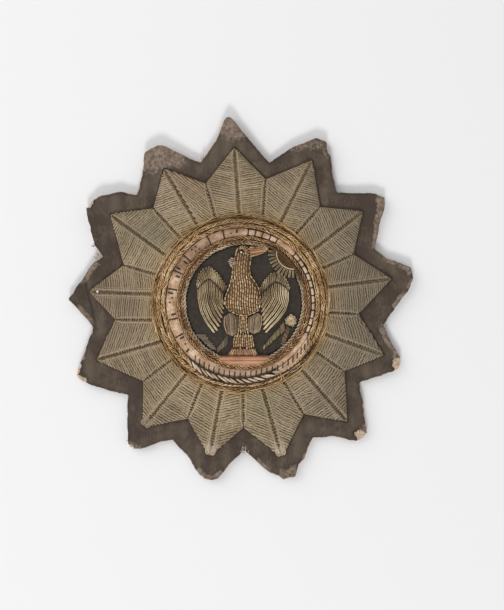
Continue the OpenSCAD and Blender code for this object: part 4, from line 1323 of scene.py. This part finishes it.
# Red brown silk, worn matt
red_brown = thread_material("red_brown_silk", ["#4a261b", "#78432e", "#a0674b"], 0.6, own=0.6)
piece("feet_stitched", [
    pad(FEET, red_brown), threads(feet_floss, 0.16, red_brown),
    threads(feet_loops, 0.1, gilt_stitch)], "gilt_thread", ["eagle_feet"])
floss = []
for y in spread(-17.95, -15.6, 7):
    left, right, rise = read_off(PERCH, y)
    path = []
    for x in spread(left + 0.25, right - 0.25, 24):
        sway = 0.06 * rough((x, y * 3), 1.5)
        path.append((x, y + sway, FIELD_Z + pad_height(PERCH, x, y) - 0.05 + sway))
    floss.append(path)
rim_up = [(x, -15.38 - 0.1 * rough((k, 0), 6.0), FIELD_Z + 0.8)
          for k, x in enumerate(spread(-6.4, 8.4, 30))]
rim_low = [(1.0 + 7.5 * math.cos(a), -15.85 + 2.45 * math.sin(a) + 0.05 * rough((k, 1), 3.0),
            FIELD_Z + 0.6) for k, a in enumerate(spread(math.pi, 2 * math.pi, 40))]
piece("perch_satin", [
    pad(PERCH, coral_dark, 16, 10), threads(floss[1:4] + floss[5:7], 0.21, coral),
    threads([floss[0], floss[4], floss[7]], 0.2, coral_dark),
    threads([rim_up], 0.15, red_brown), threads([rim_low], 0.17, gilt_strand)],
    "coral_silk", ["perch"])

# Sun: a disc of dull gilt thread laid in arcs along the ring, outlined and cut off by the inner
# cord, with twelve short thick beams of silver thread.
SUN = Vector((15.1, 14.5))
SUN_R = 4.8
SUN_BOUND = 18.2
# Dull gilt thread: nearly black with tarnish, with a low glint
dull_gilt = thread_material("dull_gilt_thread", ["#3b2c19", "#6b5132", "#9f8154"], 0.5, 0.3,
                            own=0.6)
arcs = []
for k in range(17):
    points = [FIELD_MIDDLE + polar(angle, SUN_BOUND - 0.25 - k * 0.47)
              for angle in spread(10, 80, 79)]
    path = [(*p, FIELD_Z + 0.5 + 0.05 * rough(p, 1.0)) for p in points
            if (p - SUN).length < SUN_R - 0.15]
    if len(path) > 3:
        arcs.append(path)
sun_edge = [SUN + polar(150 + j * 2.6, SUN_R - 0.1) for j in range(60)]
sun_edge = [(*p, FIELD_Z + 0.55) for p in sun_edge if (p - FIELD_MIDDLE).length < SUN_BOUND]
beams = [loop_round(SUN + polar(angle, 5.0), SUN + polar(angle, 7.1), 0.36,
                    lambda x, y: FIELD_Z + 0.42) for angle in (176 + k * 9.5 for k in range(12))]

# Its felt is a disc cut off by the inner cord
bm = bmesh.new()
bmesh.ops.create_circle(bm, cap_ends=True, segments=64, radius=1)
for v in bm.verts:
    p = SUN + polar(math.degrees(math.atan2(v.co.y, v.co.x)), SUN_R - 0.2)
    off = p - FIELD_MIDDLE
    if off.length > SUN_BOUND - 0.1:
        p = FIELD_MIDDLE + off.normalized() * (SUN_BOUND - 0.1)
    v.co = Vector((*p, FIELD_Z - 0.1)) * MM
raised = bmesh.ops.extrude_face_region(bm, geom=bm.faces[:])["geom"]
bmesh.ops.translate(bm, vec=(0, 0, 0.45 * MM),
                    verts=[v for v in raised if isinstance(v, bmesh.types.BMVert)])
sun_felt = as_mesh(bm)
over_sun = ring_rope(FIELD_X, INNER_B_R, SEAT + 1.95, 3, 0.26, 3.0, 1, 51, (21, 71))
piece("cord_over_sun", [threads(over_sun, 0.18, dull_gilt)], "dull_gilt_thread")
piece("sun_laid", [
    (sun_felt, dark_felt), threads(arcs, 0.155, dull_gilt), threads([sun_edge], 0.17, gilt_stitch),
    threads(beams, 0.1, silver_gilt)], "dull_gilt_thread", ["sun"])

# Sprig: a rosette of silver loops, a long stem of ochre stitches, a short brown stem, and two
# leaves of thin grey stitches, most of them rubbed away.
FLOWER = Vector((14.6, -5.1))
spiral = [(*(FLOWER + polar(k * 26, 0.15 + 0.026 * k)), FIELD_Z + 0.75 - 0.006 * k)
          for k in range(42)]
petals = [loop_round(FLOWER + polar(a, 1.1), FLOWER + polar(a, 1.6 + 0.15 * math.sin(a)), 0.6,
                     lambda x, y: FIELD_Z + 0.5) for a in range(10, 370, 40)]
piece("flower_looped", [threads([spiral], 0.2, silver_gilt), threads(petals, 0.17, silver_gilt)],
      "silver_thread", ["flower"])


def stitched_bar(start, end, width_a, width_b, slant, space, height):
    """Short slanted stitches side by side along a bar."""
    start, end = Vector(start), Vector(end)
    step, side = unit_left(end - start)
    count = round((end - start).length / space)
    paths = []
    for k in range(count):
        middle = start + (end - start) * (k + 0.5) / count
        half = mix(width_a, width_b, k / count) / 2 * (1 + 0.35 * rough((k, start.x), 1.4))
        paths.append([(*(middle + side * half * t + step * slant * half * t),
                       FIELD_Z + height * (1 - 0.45 * t * t)) for t in (-1, -0.5, 0, 0.5, 1)])
    return paths


# Ochre gilt thread, tarnished dull, brown silk thread, and grey thread worn and faded to the ground
ochre = thread_material("ochre_gilt_thread", ["#4d3f2c", "#937f5d", "#d0b98f"], 0.5, 0.3, own=0.7)
brown_thread = thread_material("brown_silk_thread", ["#453323", "#80664a", "#b0916c"], 0.65,
                               own=0.6)
faded = thread_material("faded_grey_thread", ["#51473a", "#796b59", "#a39379"], 0.75, own=0.7)
# Each bar: its two ends, its width at them, slant and spacing of the stitches, their height and
# radius, look and slot
for name, bar, radius, look, slot in (
        ("long_stem", ((6.5, -13.1), (12.7, -6.7), 0.7, 1.9, 0.9, 0.4, 0.5), 0.12, ochre,
         "dull_gilt_thread"),
        ("short_stem", ((12.0, -12.2), (13.9, -7.0), 1.1, 1.0, 0.5, 0.42, 0.42), 0.15,
         brown_thread, "brown_thread"),
        ("leaf_left", ((-7.6, -13.5), (-11.7, -9.1), 1.0, 2.1, 1.0, 0.34, 0.2), 0.12, faded,
         "faded_thread"),
        ("leaf_right", ((-6.7, -13.7), (-3.7, -10.6), 0.9, 1.8, 1.0, 0.34, 0.2), 0.12, faded,
         "faded_thread")):
    piece(name + "_stitched", [threads(stitched_bar(*bar), radius, look)], slot, [name])

# Loose ends: a gold thread has sprung from the ring's foot, a few silk threads fray from worn
# edges, and a small silver spangle sits at the left ray's tip.
loose_gold = [[(11.2, -19.6, 4.4), (11.6, -20.6, 4.9), (11.9, -21.6, 4.8), (11.6, -22.4, 4.4)],
              [(12.4, -19.9, 4.3), (12.2, -21.0, 4.7), (12.6, -21.8, 4.3)]]
piece("loose_gold_thread", [threads(loose_gold, 0.12, yellow_gilt)], "flat_gold_thread")
SPANGLE = Vector((-41.4, 3.3))
ring = [(*(SPANGLE + polar(a, 0.22)), seat(*SPANGLE) + 1.2) for a in range(0, 360, 30)]
# Bright silver: pale and clean, with a soft glint
bright_silver = thread_material("bright_silver_spangle", ["#d9d3c6", "#f6f2ea"], 0.3, 0.5)
piece("silver_spangle", [threads([ring], 0.17, bright_silver, closed=True)], "silver_thread")
# Frayed threads of the silk's edge: place, how many, and their length
frays = []
rng = random.Random(9)
for x, y, count, reach in ((-42.2, 16.8, 6, 1.2), (-8.0, -50.6, 7, 1.0), (14.2, -49.6, 8, 1.1),
                           (45.0, -15.4, 4, 0.9), (34.0, -37.4, 4, 0.9), (-31.4, -41.0, 4, 0.9)):
    outward = math.degrees(math.atan2(y, x))
    for _ in range(count):
        start = Vector((x, y)) + polar(outward + 90, rng.uniform(-1.6, 1.6))
        heading = polar(outward + rng.uniform(-60, 60), rng.uniform(0.5, 1) * reach)
        z = SILK_TOP + lift(*start) + 0.1
        bend = polar(rng.uniform(0, 360), 0.2)
        frays.append([(start.x, start.y, z), (*(start + heading * 0.5 + bend), z + 0.1),
                      (*(start + heading), z - 0.1)])
# Pale fluff: place, how many, and how far they are spread
fluff = []
for x, y, count, reach in ((-10.8, 41.9, 9, 0.7), (1.0, -42.8, 9, 0.7), (-41.2, 13.2, 34, 1.1)):
    for _ in range(count):
        start = Vector((x, y)) + polar(rng.uniform(0, 360), rng.uniform(0.2, reach))
        fluff.append([(*(start + polar(rng.uniform(0, 360), 0.35 * j)), SILK_TOP - 0.2 + 0.1 * j)
                      for j in range(4)])
# Pale fibres lie over the rubbed places of the silk
fibres = []
for (x, y), radius, reach, *most in RUBBED:
    outward = math.degrees(math.atan2(y, x))
    for _ in range(round(radius * 7) if reach > 3.5 else 0):
        start = Vector((x, y)) + polar(rng.uniform(0, 360), radius * math.sqrt(rng.random()))
        rim_point, _, near = edge_tree.find((start.x, start.y, 0))
        heading = polar(outward + rng.uniform(-50, 50), rng.uniform(0.5, 1.3) / 3)
        bend = polar(rng.uniform(0, 360), 0.12)
        if near > reach or start.length > rim_point.length - 0.4:
            continue
        path = [start - heading * j + bend * (j % 2) for j in range(4)]
        fibres.append([(*q, silk_surface(q) + lift(*q) + 0.04) for q in path])
# Pale matt fluff, and fibres of the brown silk, rubbed grey or frayed
pale_fluff = thread_material("pale_loose_fibres", ["#b3a596", "#d8cdc0"], 0.9)
rubbed_fibre = thread_material("rubbed_silk_fibres", ["#54473c", "#8b7b6c", "#b8a999"], 0.9,
                               own=0.9)
fray_thread = thread_material("frayed_silk", ["#4f443b", "#7a6b5f", "#9a8a7c"], 0.8, own=0.9)
piece("frayed_threads", [
    threads(frays, 0.07, fray_thread, sides=0), threads(fibres, 0.06, rubbed_fibre, sides=0),
    threads(fluff, 0.1, pale_fluff, sides=0)], "brown_silk")
